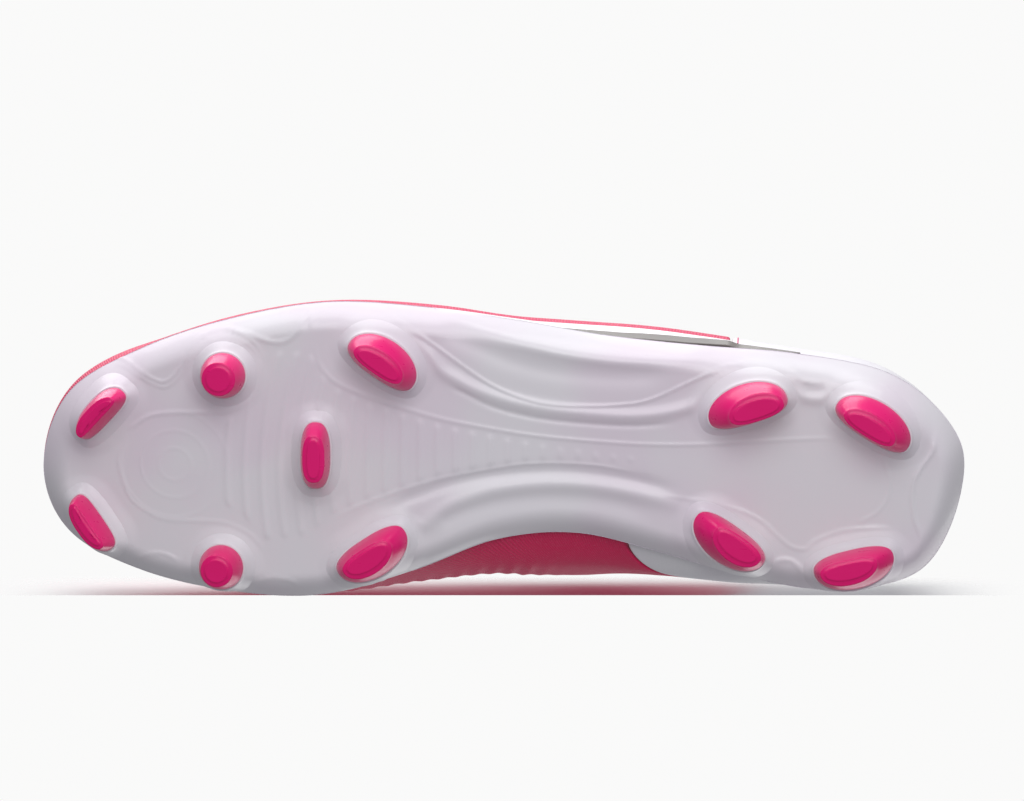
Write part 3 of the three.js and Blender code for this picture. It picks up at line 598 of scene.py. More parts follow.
# Raised lines and sunk bands of the underside: height, half width and route as along, across.
reliefLines = {
    "toeWave": (0.34, 0.42, [
        (-126, 24), (-122, 27), (-117.6, 27.8), (-108.3, 22.9), (-104, 22.5), (-99, 27.9),
        (-94.4, 35.4), (-85.1, 38.5), (-77.3, 35.2), (-73.6, 29)]),
    "toeWaveInner": (0.24, 0.4, [
        (-122, 25.4), (-117.6, 26.2), (-108.3, 21.3), (-103.4, 21), (-97.6, 27.3), (-93.4, 34),
        (-85.1, 37), (-78.2, 34), (-74.8, 29)]),
    "ballWave": (0.4, 0.5, [
        (-88, 39.2), (-78.9, 37.6), (-72, 35.4), (-66.5, 36.1), (-62, 41), (-58, 46.7)]),
    "ballWaveInner": (0.26, 0.4, [(-60, 39.6), (-57.5, 43.4), (-54.5, 46.8)]),
    "discTop": (0.22, 0.6, [
        (-116.7, 6.2), (-113, 9.4), (-108.3, 11.7), (-99, 12.7), (-86.6, 13.4), (-79, 16.6)]),
    "discRim": (0.16, 0.55, [
        (-117.6, 3), (-119.2, -3.2), (-116.7, -12.4), (-113, -16.9), (-105.2, -20.7), (-94.4, -21),
        (-86.6, -21.3), (-80.4, -23.6), (-76.4, -26.7), (-73.5, -31.5)]),
    "toeDip": (0.3, 0.5, [(-114.5, -34.3), (-109.9, -31.9), (-105.2, -31.6), (-100.6, -33.6)]),
    "ballDip": (0.3, 0.5, [(-78.9, -40.7), (-74.2, -39), (-71.1, -38.2), (-66.5, -38.9), (-63.4, -40.4)]),
    "waistLine": (0.36, 0.42, [
        (-46, 49.5), (-32.4, 41.8), (-23.1, 35.7), (-13.8, 28.8), (-4.5, 22.5), (4.8, 18.4),
        (14.1, 16.1), (24.9, 15.5), (35.8, 15.9), (45.1, 17.6), (57.5, 23.3), (66.8, 27.3),
        (74.5, 28.8), (82.3, 28.5), (91.6, 23.9), (96, 23), (104, 26)]),
    "railLateral": (1.0, 2.0, [
        (-30, 35.5), (-24, 32), (-19, 26.6), (-13.8, 23.4), (-7.6, 20.3), (1.7, 17), (14.1, 14.3),
        (29.6, 12.8), (42, 12.6), (54.4, 14.6), (63.7, 18.6), (72, 23.3)]),
    "railGroove": (-0.32, 0.8, [
        (-18, 22.2), (-12, 19.4), (-5, 15.8), (3, 13.2), (14.1, 11), (29.6, 9.6), (42, 9.4),
        (54.4, 10.6)]),
    "heelBridge": (0.8, 1.8, [(84, 23.8), (89, 20.4), (93.1, 18.2), (97.8, 18), (102.4, 20)]),
    "channelLine": (0.24, 0.5, [
        (-58.4, 35.6), (-57.2, 29.4), (-54.1, 24.8), (-49.4, 21.7), (-41.7, 18.6), (-32.4, 15.5),
        (-20, 11.8), (-7.6, 9.2), (4.8, 6.9), (17.2, 5.3), (32.7, 4.1), (45.1, 3.6), (60.6, 3.7),
        (73, 4.4), (97.8, 5.6), (104, 4.7)]),
    "outerRoll": (0.8, 2.3, [
        (-24, 45.6), (-14, 42.6), (-5, 39), (4.8, 35.6), (17.2, 32.2), (29.6, 30.4), (42, 29.8),
        (54.4, 29.9), (66.8, 31)]),
    "outerValley": (-0.6, 3.0, [
        (-22, 40), (-12, 36), (0, 30.6), (12, 27), (24, 25.4), (38, 24.8), (52, 26)]),
    "medialLine": (0.22, 0.45, [
        (-54.1, -20.2), (-44.8, -15.5), (-32.4, -10.8), (-20, -7.1), (-7.6, -4.7), (4.8, -2.8),
        (17.2, -2.5), (29.6, -3.3), (44, -5.8)]),
    "medialValley": (-0.75, 2.0, [
        (-36, -15.6), (-28, -12.6), (-18, -9), (-7.6, -6.6), (4.8, -5.2), (17.2, -4.9),
        (29.6, -5.9), (42, -8), (56, -11.4)]),
    "medialRail": (0.75, 2.4, [
        (-27, -24.5), (-24, -20.6), (-19, -16.6), (-12, -13.4), (-1.4, -10.4), (14.1, -9),
        (29.6, -9.9), (45.1, -12.9), (58, -17)]),
    "medialHollow": (-0.4, 2.6, [
        (-21, -22), (-15, -18.4), (-4, -15.2), (8, -13.6), (20, -13.6), (34, -15), (48, -19)]),
    "heelShelf": (0.2, 0.6, [
        (42, -11.4), (60.6, -13.9), (73, -17), (79.2, -20.1), (83.8, -24.4), (88.5, -28.2),
        (93, -28.8), (96, -26.2), (104, -23.2), (113.3, -22.3), (122, -22.2)]),
    "heelCup": (0.3, 0.7, [
        (133, 8), (131.9, 1.6), (128.8, -3.1), (126.3, -7.7), (125.7, -13.9), (126.6, -20.1),
        (128.4, -25.4), (127.6, -33)]),
    "heelArc": (0.14, 0.6, [(112, 4), (117.5, -3), (118.6, -11), (115, -17.4), (108, -21)]),
    "heelDip": (0.4, 0.8, [
        (64, -36.8), (70, -38), (77.6, -36), (83.8, -32.7), (88.5, -32.7), (92, -36), (97, -40.5)]),
}


def distanceTo(route, x, y, reach):
    curve = curveThrough([(across, along) for along, across in route], 12 * len(route))
    result = np.full(x.shape, reach * 2.0)
    near = ((x > curve[:, 0].min() - reach) & (x < curve[:, 0].max() + reach)
            & (y > curve[:, 1].min() - reach) & (y < curve[:, 1].max() + reach))
    p = np.stack([x[near], y[near]], -1)
    a, b = curve[:-1], curve[1:]
    ab = b - a
    best = np.full(len(p), np.inf)
    share = np.zeros(len(p))
    for i in range(len(a)):
        t = np.clip(((p - a[i]) @ ab[i]) / max(ab[i] @ ab[i], 1e-9), 0, 1)
        d = np.linalg.norm(p - a[i] - t[:, None] * ab[i], axis=-1)
        closer = d < best
        best[closer] = d[closer]
        share[closer] = (i + t[closer]) / len(a)
    result[near] = best
    ends = np.zeros(x.shape)
    ends[near] = share
    return result, ends


def studDistance(stud, x, y):
    turn = math.radians(stud["turn"])
    dx, dy = x - stud["x"], y - stud["y"]
    along = dx * math.sin(turn) + dy * math.cos(turn)
    across = dx * math.cos(turn) - dy * math.sin(turn)
    half = stud["width"] / 2
    offset = (stud["bow"] - 0.5) * stud["width"]
    run = np.maximum(np.abs(along) - (stud["length"] / 2 - half), 0)
    return np.hypot(run, across - offset) - half


def ribRelief(x, y):
    bend = 0.0042 * (1 - smooth(-70, -15, y))
    bent = y - bend * (x + 5) ** 2
    row = np.round((bent - plate["ribFirst"]) / plate["ribPitch"])
    centre = plate["ribFirst"] + row * plate["ribPitch"]
    last = round((plate["ribLast"] - plate["ribFirst"]) / plate["ribPitch"])
    shape = np.exp(-((bent - centre) / plate["ribWidth"]) ** 2) * ((row >= 0) & (row <= last))
    stations = [-90, -80, -74, -60, -54, -41.7, -20, 4.8, 17, 40]
    high = np.interp(y, stations, [8, 16, 33, 33, 23, 17, 10.5, 5.4, 3.2, 0.5])
    low = np.interp(y, stations, [-14, -20, -27, -25, -19, -13.6, -6.4, -2.4, -2, -3])
    inside = smooth(0, 2.2, high - x) * smooth(0, 2.2, x - low)
    fade = 1 - 0.45 * smooth(-10, 38, y)
    return plate["ribHeight"] * shape * inside * fade


medallion = {"along": -101.8, "across": -3.5, "rings": (16.5, 10.5, 5.0), "height": 0.08, "width": 0.4}


def medallionRelief(x, y):
    radius = np.hypot(x - medallion["across"], y - medallion["along"])
    return sum(medallion["height"] * np.exp(-((radius - ring) / medallion["width"]) ** 2)
               for ring in medallion["rings"])


# How far the underside stands out from its plain form.
def plateRelief(x, y):
    shape = x.shape
    x, y = x.ravel(), y.ravel()
    total = np.zeros(x.shape)
    for height, width, route in reliefLines.values():
        away, share = distanceTo(route, x, y, 3.2 * width)
        taper = smooth(0, plate["taper"], share) * smooth(0, plate["taper"], 1 - share)
        total += height * np.exp(-(away / width) ** 2) * taper
    total += ribRelief(x, y) + medallionRelief(x, y)
    mound = np.zeros(x.shape)
    clear = np.ones(x.shape)
    for stud in studs:
        away = studDistance(stud, x, y)
        mound = np.maximum(mound, 1 - smooth(0.5, plate["moundReach"], away))
        clear = np.minimum(clear, smooth(*plate["clear"], away))
    total = total * clear + plate["moundHeight"] * mound
    return total.reshape(shape)


print("plate relief ready")


# Places round the ring, the same on both sides of the middle line and evenly spaced in mm.
def evenPlaces(count):
    half = np.linspace(0, 12, 1201)
    steps = [np.linalg.norm(np.diff(edgePoint(side), axis=0), axis=-1) for side in (half, keyCount - half)]
    run = np.concatenate([[0], np.cumsum(sum(steps))])
    first = np.interp(np.linspace(0, run[-1], count // 2 + 1), run, half)
    return np.concatenate([first, keyCount - first[-2:0:-1]])


# From the middle line to the outline.
def reachAt(k):
    return np.linalg.norm(edgePoint(k) - centrePoint(k), axis=-1)


def insetPoints(k, inset):
    centre, reach = centrePoint(k), reachAt(k)
    share = np.maximum(0, reach - inset) / reach
    return centre + (edgePoint(k) - centre) * share[..., None]


# A ring at one distance from the outline that stands over the plate's plain form by rise.
def levelRing(k, inset, rise):
    flat = insetPoints(k, inset)
    return np.concatenate([flat, (soleZ(flat[:, 1]) + rise)[:, None]], -1)


def nearestEdge(x, y):
    k = np.linspace(0, keyCount, 721)[:-1]
    edge = edgePoint(k)
    away = np.hypot(x[..., None] - edge[:, 0], y[..., None] - edge[:, 1])
    index = away.argmin(-1)
    return k[index], away.min(-1)


def undersideZ(x, y):
    k, inset = nearestEdge(x, y)
    return soleZ(y) + underHeight(k, inset) - plateRelief(x, y)


def studTurned(stud, points):
    slope = np.arctan(soleZ(stud["y"] + 0.5) - soleZ(stud["y"] - 0.5))
    c, s = np.cos(slope), np.sin(slope)
    x, y, z = points[..., 0], points[..., 1], points[..., 2]
    return np.stack([x + stud["x"], y * c - z * s + stud["y"], y * s + z * c + soleZ(stud["y"])], -1)


def studRing(stud, length, width, sides, shift=(0, 0)):
    angle = np.linspace(0, 2 * np.pi, sides, endpoint=False)
    c, s = np.cos(angle), np.sin(angle)
    bowed = ((s > 0) == (stud["bow"] >= 0.5)) & (stud["bow"] != 0.5)
    power = 2 / np.where(bowed, 2.0, stud["square"])
    depth = np.where(s > 0, stud["bow"], 1 - stud["bow"])
    a = 0.5 * length * np.sign(c) * np.abs(c) ** (2 / stud["square"] if stud["bow"] == 0.5 else power)
    b = width * depth * np.sign(s) * np.abs(s) ** power + stud["bend"] * (0.5 - c * c)
    turn = math.radians(stud["turn"])
    x = a * math.sin(turn) + b * math.cos(turn) + shift[1]
    y = a * math.cos(turn) - b * math.sin(turn) + shift[0]
    return np.stack([x, y, np.zeros(sides)], -1)


root = {
    "sides": 72,
    "rows": 11,
    "shoulder": 0.5,       # how far the root stands out round the cap
    "spread": 3.6,
    "buried": 0.3,
    "roll": 0.3,
    "inside": 0.5,         # least distance to the plate's outline
    "over": 0.22,          # how far the root goes on past its boss
    "flare": 1.25,
    "climb": 1.45,
    "foot": 0.8,           # how far the closing ring lies in the plate
}


# Moves points that stand out past the plate's outline back to inside of it.
def keptInside(points, gap):
    k, _ = nearestEdge(points[:, 0], points[:, 1])
    centre, edge = centrePoint(k), edgePoint(k)
    reach = reachAt(k)
    out = ((points[:, :2] - centre) * (edge - centre)).sum(-1) / reach
    over = np.maximum(0, out - (reach - gap))
    kept = points.copy()
    kept[:, :2] -= over[:, None] * (edge - centre) / reach[:, None]
    return kept


def rootRings(stud):
    rings = []
    height = boot["bossHeight"] + root["over"]
    for step in range(root["rows"]):
        share = step / (root["rows"] - 1)
        margin = root["shoulder"] + root["spread"] * (1 - share) ** root["flare"]
        rise = share ** root["climb"]
        flat = studRing(stud, stud["length"] + 2 * margin, stud["width"] + 2 * margin, root["sides"])
        top = flat.copy()
        top[:, 2] = -height + root["roll"]
        top = studTurned(stud, top)
        low = keptInside(studTurned(stud, flat), root["inside"])
        low[:, 2] = undersideZ(low[:, 0], low[:, 1]) + root["buried"]
        rings.append(keptInside(low * (1 - rise) + top * rise, root["inside"]))
    for turn in (0.35, 0.7, 1.0):
        margin = root["shoulder"] - root["roll"] * (1 - math.cos(math.pi / 2 * turn))
        flat = studRing(stud, stud["length"] + 2 * margin, stud["width"] + 2 * margin, root["sides"])
        flat[:, 2] = -height + root["roll"] * (1 - math.sin(math.pi / 2 * turn))
        rings.append(studTurned(stud, flat))
    first = rings[0].copy()
    first[:, 2] += root["foot"]
    return [first] + rings


def plateMesh():
    k = evenPlaces(plate["columns"])
    reach = reachAt(k)
    rings = []
    floor = np.linspace(1, 0, plate["floorRows"] + 1)
    rim = boot["rimSweep"] * np.linspace(1, 0.02, plate["rimRows"])[1:] ** 1.15
    for inset in [boot["rimSweep"] + share * (reach - boot["rimSweep"]) for share in floor] + list(rim):
        flat = insetPoints(k, inset)
        z = soleZ(flat[:, 1]) + underHeight(k, inset) - plateRelief(flat[:, 0], flat[:, 1])
        rings.append(np.concatenate([flat, z[:, None]], -1))
    lip = [(0.02, -0.3), (0.03, -0.12), (0.22, 0.02), (0.7, 0.04), (1.25, 0.0), (1.55, -0.2), (1.7, -0.6)]
    rings += [levelRing(k, inset, rimHeight(k) + rise) for inset, rise in lip]
    sweep = boot["rimSweep"] - boot["rimWall"]
    for share in (0.2, 0.45, 0.75, 1.0):
        rise = boot["plateWall"] + (rimHeight(k) - boot["plateWall"]) * (1 - share) ** 2
        rings.append(levelRing(k, boot["rimWall"] + share * sweep, rise))
    for share in (0.35, 0.7, 1.0):
        rings.append(levelRing(k, boot["rimSweep"] + share * (reach - boot["rimSweep"]), boot["plateWall"]))
    faces = gridFaces(len(rings), len(k), True)
    mesh = meshFrom("sole_plate", np.array(rings).reshape(-1, 3), faces, None, 60)
    roots = []
    allFaces = []
    start = 0
    for stud in studs:
        lofted = rootRings(stud)
        roots.append(np.array(lofted).reshape(-1, 3))
        allFaces += loftFaces(len(lofted), root["sides"], start)
        start += len(lofted) * root["sides"]
    rootMesh = meshFrom("stud_roots", np.concatenate(roots), allFaces, None, 60)
    joined = bmesh.new()
    joined.from_mesh(mesh)
    joined.from_mesh(rootMesh)
    joined.to_mesh(mesh)
    joined.free()
    bpy.data.meshes.remove(rootMesh)
    return mesh


solePlate = setUp(addObject("sole_plate", plateMesh()), "plate", "plate", "outsole_plate")
print("plate made:", len(solePlate.data.polygons), "faces")


cap = {
    "sides": 72,
    "bevel": 0.5,          # radius where the side meets the tip
    "ledge": 0.15,         # band round the raised pad, as a share of the tip's width
    "step": 0.28,          # how far the pad stands up
    "sharp": 85,           # edges steeper than this stay sharp, in degrees
}


def capMesh(stud):
    top = -boot["bossHeight"] - boot["fitGap"]
    tall = boot["studHeight"]
    length, width, tipLength, tipWidth = (stud[key] for key in ("length", "width", "tipLength", "tipWidth"))
    shiftTo = (stud["shiftY"], stud["shiftX"])
    rings = []

    def ring(sizeL, sizeW, down, move):
        flat = studRing(stud, max(sizeL, 0.05), max(sizeW, 0.05), cap["sides"], [v * move for v in shiftTo])
        flat[:, 2] = top - down
        rings.append(studTurned(stud, flat))

    ring(length * 0.5, width * 0.5, 0.0, 0)
    ring(length - 0.5, width - 0.5, 0.0, 0)
    ring(length - 0.12, width - 0.12, 0.1, 0)
    side = tall - cap["step"] - cap["bevel"]
    for share in np.linspace(0.04, 1, 9):
        taper = 1.05 * share - 0.05 * share ** 2 - 0.14 * math.sin(math.pi * share)
        ring(length + (tipLength + 0.6 - length) * taper, width + (tipWidth + 0.6 - width) * taper,
             side * share, share)
    edgeL, edgeW = tipLength + 0.6, tipWidth + 0.6
    for turn in (0.35, 0.7, 1.0):
        inset = 2 * cap["bevel"] * (1 - math.cos(math.pi / 2 * turn))
        ring(edgeL - inset, edgeW - inset, side + cap["bevel"] * math.sin(math.pi / 2 * turn), 1)
    inset = 2 * cap["bevel"] + 2 * cap["ledge"] * min(tipWidth, 6)
    for more, down in ((0, 0.0), (0.1, 0.06), (0.3, 0.24), (0.6, 0.28), (1.2, 0.28)):
        ring(edgeL - inset - more, edgeW - inset - more, tall - cap["step"] + down, 1)
    ring((edgeL - inset - 1.2) * 0.5, (edgeW - inset - 1.2) * 0.5, tall, 1)
    points = np.array(rings)
    faces = loftFaces(len(rings), cap["sides"])
    return meshFrom(stud["name"], points.reshape(-1, 3), faces, None, cap["sharp"])


for stud in studs:
    setUp(addObject(stud["name"].replace("stud_", "cap_"), capMesh(stud)), "stud", "stud", stud["name"])
print("stud caps made")


# A flat layer that lies in the plate: its outline keeps one distance from the plate's edge.
def trayMesh(name, inset, bottom, wall, columns, rows, cup=0.0):
    k = evenPlaces(columns)
    reach = reachAt(k)
    rings = []

    def ring(gap, height):
        rings.append(levelRing(k, gap, height))

    corner = 0.35 * wall
    for share in np.linspace(1, 0, rows):
        ring(inset + corner + share * (reach - inset - corner), bottom)
    for turn in np.linspace(0.15, 1, 5):
        ring(inset + corner * (1 - math.sin(math.pi / 2 * turn)),
             bottom + corner * (1 - math.cos(math.pi / 2 * turn)))
    for turn in np.linspace(0, 0.85, 5):
        ring(inset + corner * (1 - math.cos(math.pi / 2 * turn)),
             bottom + cup + wall - corner * (1 - math.sin(math.pi / 2 * turn)))
    for share in np.linspace(0, 1, rows):
        gap = corner + share * (reach - inset - corner)
        ring(inset + gap, bottom + wall + cup * np.exp(-(gap / 7) ** 2))
    points = np.array(rings)
    flat = points[..., :2] * mm
    return meshFrom(name, points.reshape(-1, 3), gridFaces(len(rings), len(k), True), flat, 50)


boardBottom = boot["plateWall"] + boot["fitGap"]
sockBottom = boardBottom + boot["boardWall"] + boot["fitGap"]
sole = {"boardInset": 8.4, "sockInset": 7.0, "sockCup": 1.4}
board = trayMesh("fibre_board", sole["boardInset"], boardBottom, boot["boardWall"], 240, 12)
setUp(addObject("fibre_board", board), "board", "board", "lasting_board")
sock = trayMesh("inner_sole", sole["sockInset"], sockBottom, boot["sockWall"], 360, 30, sole["sockCup"])
setUp(addObject("inner_sole", sock), "foam", "foam", "sockliner", body="sockliner")
print("board and sockliner made")


# Shares from one border to the other, closer together at both, where the edge turns over.
def bordered(length, wall, count):
    near = np.array([0, 0.05, 0.17, 0.36]) * wall / length
    middle = np.linspace(0.6 * wall / length, 1 - 0.6 * wall / length, count)
    return np.concatenate([near, middle, 1 - near[::-1]])


keySpan = 26           # rough distance between two keys, in mm


def asRule(value):
    return value if callable(value) else (lambda _: np.full(np.shape(_), float(value)))


# A layer that follows the upper. ends are places round the ring, rows are places up its profile;
# each is a number or a rule. The outer face stands off by offset and the wall goes inwards.
def layerGrids(ends, rows, offset, wall, columns, count, swell=None, least=0.12):
    first, last = (asRule(end)(0.5) for end in ends)
    middle = 0.5 * (first + last)
    lengthK = float(abs(last - first)) * keySpan
    foot, head = (upperPoint(middle, asRule(row)(middle)) for row in rows)
    tall = float(np.linalg.norm(head - foot))
    shareK, shareT = np.meshgrid(bordered(lengthK, wall, columns), bordered(tall, wall, count))
    start, end = asRule(ends[0])(shareT), asRule(ends[1])(shareT)
    k = start + (end - start) * shareK
    lowRow, highRow = asRule(rows[0])(k), asRule(rows[1])(k)
    t = lowRow + (highRow - lowRow) * shareT
    border = np.minimum(np.minimum(shareK, 1 - shareK) * lengthK, np.minimum(shareT, 1 - shareT) * tall)
    full = np.sqrt(1 - (1 - np.clip(border / (0.5 * wall), 0, 1)) ** 2)
    full = least + (1 - least) * full
    extra = swell(k, t) if swell else (np.zeros(k.shape), np.zeros(k.shape))
    outer = offUpper(k, t, offset - 0.5 * wall * (1 - full) + extra[0])
    inner = offUpper(k, t, offset - wall + 0.5 * wall * (1 - full) + extra[1])
    return outer, inner


def layerPiece(name, *grid, **more):
    outer, inner = layerGrids(*grid, **more)
    return addObject(name, sheetMesh(name, outer, inner, flowUv(outer)))


def applied(piece):
    graph = bpy.context.evaluated_depsgraph_get()
    mesh = bpy.data.meshes.new_from_object(piece.evaluated_get(graph))
    piece.modifiers.clear()
    old = piece.data
    piece.data = mesh
    bpy.data.meshes.remove(old)


def eyeletPlaces(lateral=True, medial=True):
    return [k for k in eyelets if lateral] + [keyCount - k for k in eyelets if medial]


def punched(piece, places):
    cutter = bmesh.new()
    for k in places:
        normal = Vector(upperNormal(k, eyeletRow))
        middle = Vector(upperPoint(k, eyeletRow) * mm + shift)
        turn = normal.to_track_quat("Z", "Y").to_matrix().to_4x4()
        bmesh.ops.create_cone(cutter, cap_ends=True, segments=28, radius1=boot["eyeletRadius"] * mm,
                              radius2=boot["eyeletRadius"] * mm, depth=9 * mm,
                              matrix=Matrix.Translation(middle) @ turn)
    mesh = bpy.data.meshes.new("punch")
    cutter.to_mesh(mesh)
    cutter.free()
    punch = addObject("punch", mesh)
    holes = piece.modifiers.new("holes", "BOOLEAN")
    holes.operation = "DIFFERENCE"
    holes.solver = "MANIFOLD"
    holes.object = punch
    applied(piece)
    bpy.data.objects.remove(punch)
    piece.data.set_sharp_from_angle(angle=math.radians(50))
    return piece


upper = {
    "seam": 0.014,
    "ribPitch": 5.5,
    "ribHeight": 0.42,
    "seamAhead": 0.08,     # how far ahead the medial seam starts, in keys
    "seamLean": 1.15,      # how far it leans back as it rises
    "seamReturn": 0.6,     # how far it comes forward again at the top
    "puff": 0.9,
    "pinch": 0.25,
}


# The medial seam starts ahead of its place in the plain model and leans back as it rises.
def medialSeam(share):
    lean = upper["seamLean"] * smooth(0.0, 0.45, share)
    return vampBack[1] - upper["seamAhead"] + lean - upper["seamReturn"] * smooth(0.55, 1.0, share)


def vampSwell(k, t):
    y = upperPoint(k, t)[..., 1]
    wave = (0.5 + 0.5 * np.cos(2 * np.pi * (y + 16 * t) / upper["ribPitch"])) ** 1.5
    reach = smooth(0.1, 0.22, t) * smooth(0.76, 0.62, t) * smooth(-128, -112, y) * smooth(24, 2, y)
    reach = reach * np.where(k < 12, smooth(0.42, 0.5, t), 1)
    lift = upper["ribHeight"] * wave * reach
    return lift, lift * 0.0


def quarterSwell(k, t):
    puff = upper["puff"] * np.exp(-((t - 0.86) / 0.1) ** 2)
    puff = puff - upper["pinch"] * np.exp(-((t - 0.7) / 0.03) ** 2)
    return puff, puff * 0.0


vamp = layerPiece("knit_vamp", (vampBack[0] + upper["seam"], lambda s: medialSeam(s) - upper["seam"]),
                  (0.0, 1.0), 0.0, boot["upperWall"], 520, 84, swell=vampSwell)
setUp(punched(vamp, eyeletPlaces()), "knit", "knit", "vamp")
quarter = layerPiece("heel_shell", (lambda s: medialSeam(s) + upper["seam"],
                                    vampBack[0] + keyCount - upper["seam"]),
                     (0.0, 1.0), 0.0, boot["upperWall"], 260, 70, swell=quarterSwell)
setUp(quarter, "quarter", "quarter", "heel_quarter")
print("vamp and quarter made")

behind = -(boot["upperWall"] + boot["fitGap"])
setUp(layerPiece("heel_stiffener", (keyCount - 3, keyCount + 3), (0.1, 0.64), behind, boot["counterWall"],
                 120, 30), "stiffener", "stiffener", "heel_counter")
setUp(layerPiece("toe_stiffener", (10, 14), (0.1, 0.5), behind, boot["counterWall"], 90, 24),
      "stiffener", "stiffener", "toe_puff")

collar = {
    "reach": 4.0,
    "rows": (0.3, 1.008),
    "thinned": 1.9,      # how much thinner it is below the pad
    "pull": 1.4,         # how far it comes out to the shell above the stiffener
    "puff": 1.0,
    "channel": 0.77,     # place of the sewn channel
    "sunk": 0.9,         # how deep the channel is
    "fine": 0.35,        # how far the ends draw in
}


def fromCollarEnd(k):
    return np.minimum(k - (keyCount - collar["reach"]), keyCount + collar["reach"] - k)


def collarTop(k):
    return collar["rows"][1] - 0.05 * smooth(0.9, 0, fromCollarEnd(k))


def collarSwell(k, t):
    out = collar["pull"] * smooth(0.67, 0.78, t)
    ends = smooth(0, 0.8, fromCollarEnd(k))
    puff = collar["puff"] * np.sin(np.pi * np.clip((t - 0.5) / 0.515, 0, 1)) * ends
    channel = collar["sunk"] * np.exp(-((t - collar["channel"]) / 0.012) ** 2)
    thinned = collar["thinned"] * smooth(0.52, 0.38, t)
    inner = -puff + channel + thinned + 0.5 * (1 - ends) * smooth(0.4, 0.6, t)
    return out - collar["fine"] * (1 - ends), inner


collarEnds = (keyCount - collar["reach"], keyCount + collar["reach"])
lining = layerPiece("collar_pad", collarEnds, (collar["rows"][0], collarTop),
                    behind - boot["counterWall"] - boot["fitGap"], boot["liningWall"], 260, 48,
                    swell=collarSwell, least=0.05)
setUp(lining, "lining", "lining", "collar_lining")
print("stiffeners and collar made")


film = {
    "eyestayRows": (0.78, 0.985),
    "overhang": 0.34,
    "wingEnds": (3.68, 7.15),
    "wingDrop": 1.3,       # knit left showing over the film, in mm
    "stripeEnds": (2.95, 5.66),
    "stripeDrops": [(2.95, 0.6), (3.5, 1.4), (4.1, 2.7), (4.8, 3.4), (5.66, 2.6)],
    "stripeHalf": 0.9,
    "tabReach": 0.42,
    "tabRows": (0.62, 0.99),
}


def bandSwell(k, ends):
    return np.sin(np.pi * np.clip((np.asarray(k, float) - ends[0]) / (ends[1] - ends[0]), 0, 1))


# The lowest place on the profile that comes within some mm of the upper's widest line.
def sideRow(k, drop, offset):
    tilt = math.radians(shot["lift"])
    t = np.linspace(0.0, 0.7, 141)
    shape = np.shape(k)
    k, drop = np.broadcast_arrays(np.ravel(k), np.ravel(drop))

    def reach(points):
        return points[..., 0] * math.cos(tilt) + points[..., 2] * math.sin(tilt)

    widest = reach(upperPoint(k[:, None], t)).max(-1)
    level = reach(offUpper(k[:, None], t, offset))
    inside = level >= (widest - drop)[:, None]
    first = np.where(inside.any(-1), inside.argmax(-1), len(t) - 1)
    last = np.maximum(first - 1, 0)
    low, high = (np.take_along_axis(level, i[:, None], 1)[:, 0] for i in (last, first))
    share = np.clip((widest - drop - low) / np.maximum(high - low, 1e-6), 0, 1)
    return (t[last] + share * (t[first] - t[last])).reshape(shape)


def tabled(rule):
    k = np.linspace(2.4, 8.2, 117)
    values = rule(k)
    return lambda place: np.interp(place, k, values)


wingTop = tabled(lambda k: np.maximum(0.05, sideRow(k, film["wingDrop"], overlayLift))
                 * smooth(film["wingEnds"][1] + 0.1, film["wingEnds"][1] - 1.2, k) + 0.025)


def stripeEdge(sign):
    def rule(k):
        swell = bandSwell(k, film["stripeEnds"]) ** 0.8
        places, drops = np.array(film["stripeDrops"]).T
        drop = np.interp(k, places, drops) - sign * (0.06 + film["stripeHalf"] * swell)
        return sideRow(k, np.maximum(drop, 0.1), 2 * overlayLift)
    return tabled(rule)


top = throatTop - film["overhang"]
for side, ends in (("lateral", (top, throatFoot)), ("medial", (keyCount - throatFoot, keyCount - top))):
    stay = layerPiece("eyestay_film_" + side, ends, film["eyestayRows"], overlayLift, boot["overlayWall"],
                      150, 22)
    holes = eyeletPlaces(side == "lateral", side == "medial")
    setUp(punched(stay, holes), "film", "film", "eyestay_" + side)
setUp(layerPiece("side_film", film["wingEnds"], (0.02, wingTop), overlayLift, boot["overlayWall"], 160, 28),
      "film", "film", "wing_lateral")


# Behind the film's end the crescent comes down on to the heel shell.
def stripeSwell(k, t):
    down = -overlayLift * smooth(film["wingEnds"][0] + 0.05, film["wingEnds"][0] - 0.12, k)
    return down, down


setUp(layerPiece("dark_crescent", film["stripeEnds"], (stripeEdge(-1), stripeEdge(1)), 2 * overlayLift,
                 boot["overlayWall"], 140, 8, swell=stripeSwell), "stripe", "stripe", "stripe_lateral")
setUp(layerPiece("pull_tape", (keyCount - film["tabReach"], keyCount + film["tabReach"]), film["tabRows"],
                 2 * overlayLift, 2 * boot["overlayWall"], 26, 50), "webbing", "webbing", "heel_tab")
print("films and tape made")


tongue = {
    "foot": 10,
    "places": [10, 9.5, 9, 8.5, 8, 7.5, 7, 6.5, 6, throatTop],
    "edge": 0.74,
    "widen": 0.14,
    "crown": 2.5,
    "step": 4,
    "dip": 1,
    "reach": 14,
    "drop": 5,
    "back": 30,
    "rise": 14,
    "narrow": 0.3,
    "clearance": 1.2,
    "rows": 150,
    "columns": 84,
    "channels": (0.3, 0.5, 0.7),
    "width": 52,         # rough size of the tongue, from which its edges roll
    "length": 130,
    "roll": 1.6,
    "channelHalf": 1.1,
    "cornerBack": 9,     # how far the free corners draw in
    "cornerDown": 4,
}
laceUnder = -(boot["upperWall"] + 2 * boot["fitGap"] + boot["laceRadius"])
tongueUnder = laceUnder - boot["laceRadius"] - tongue["clearance"]


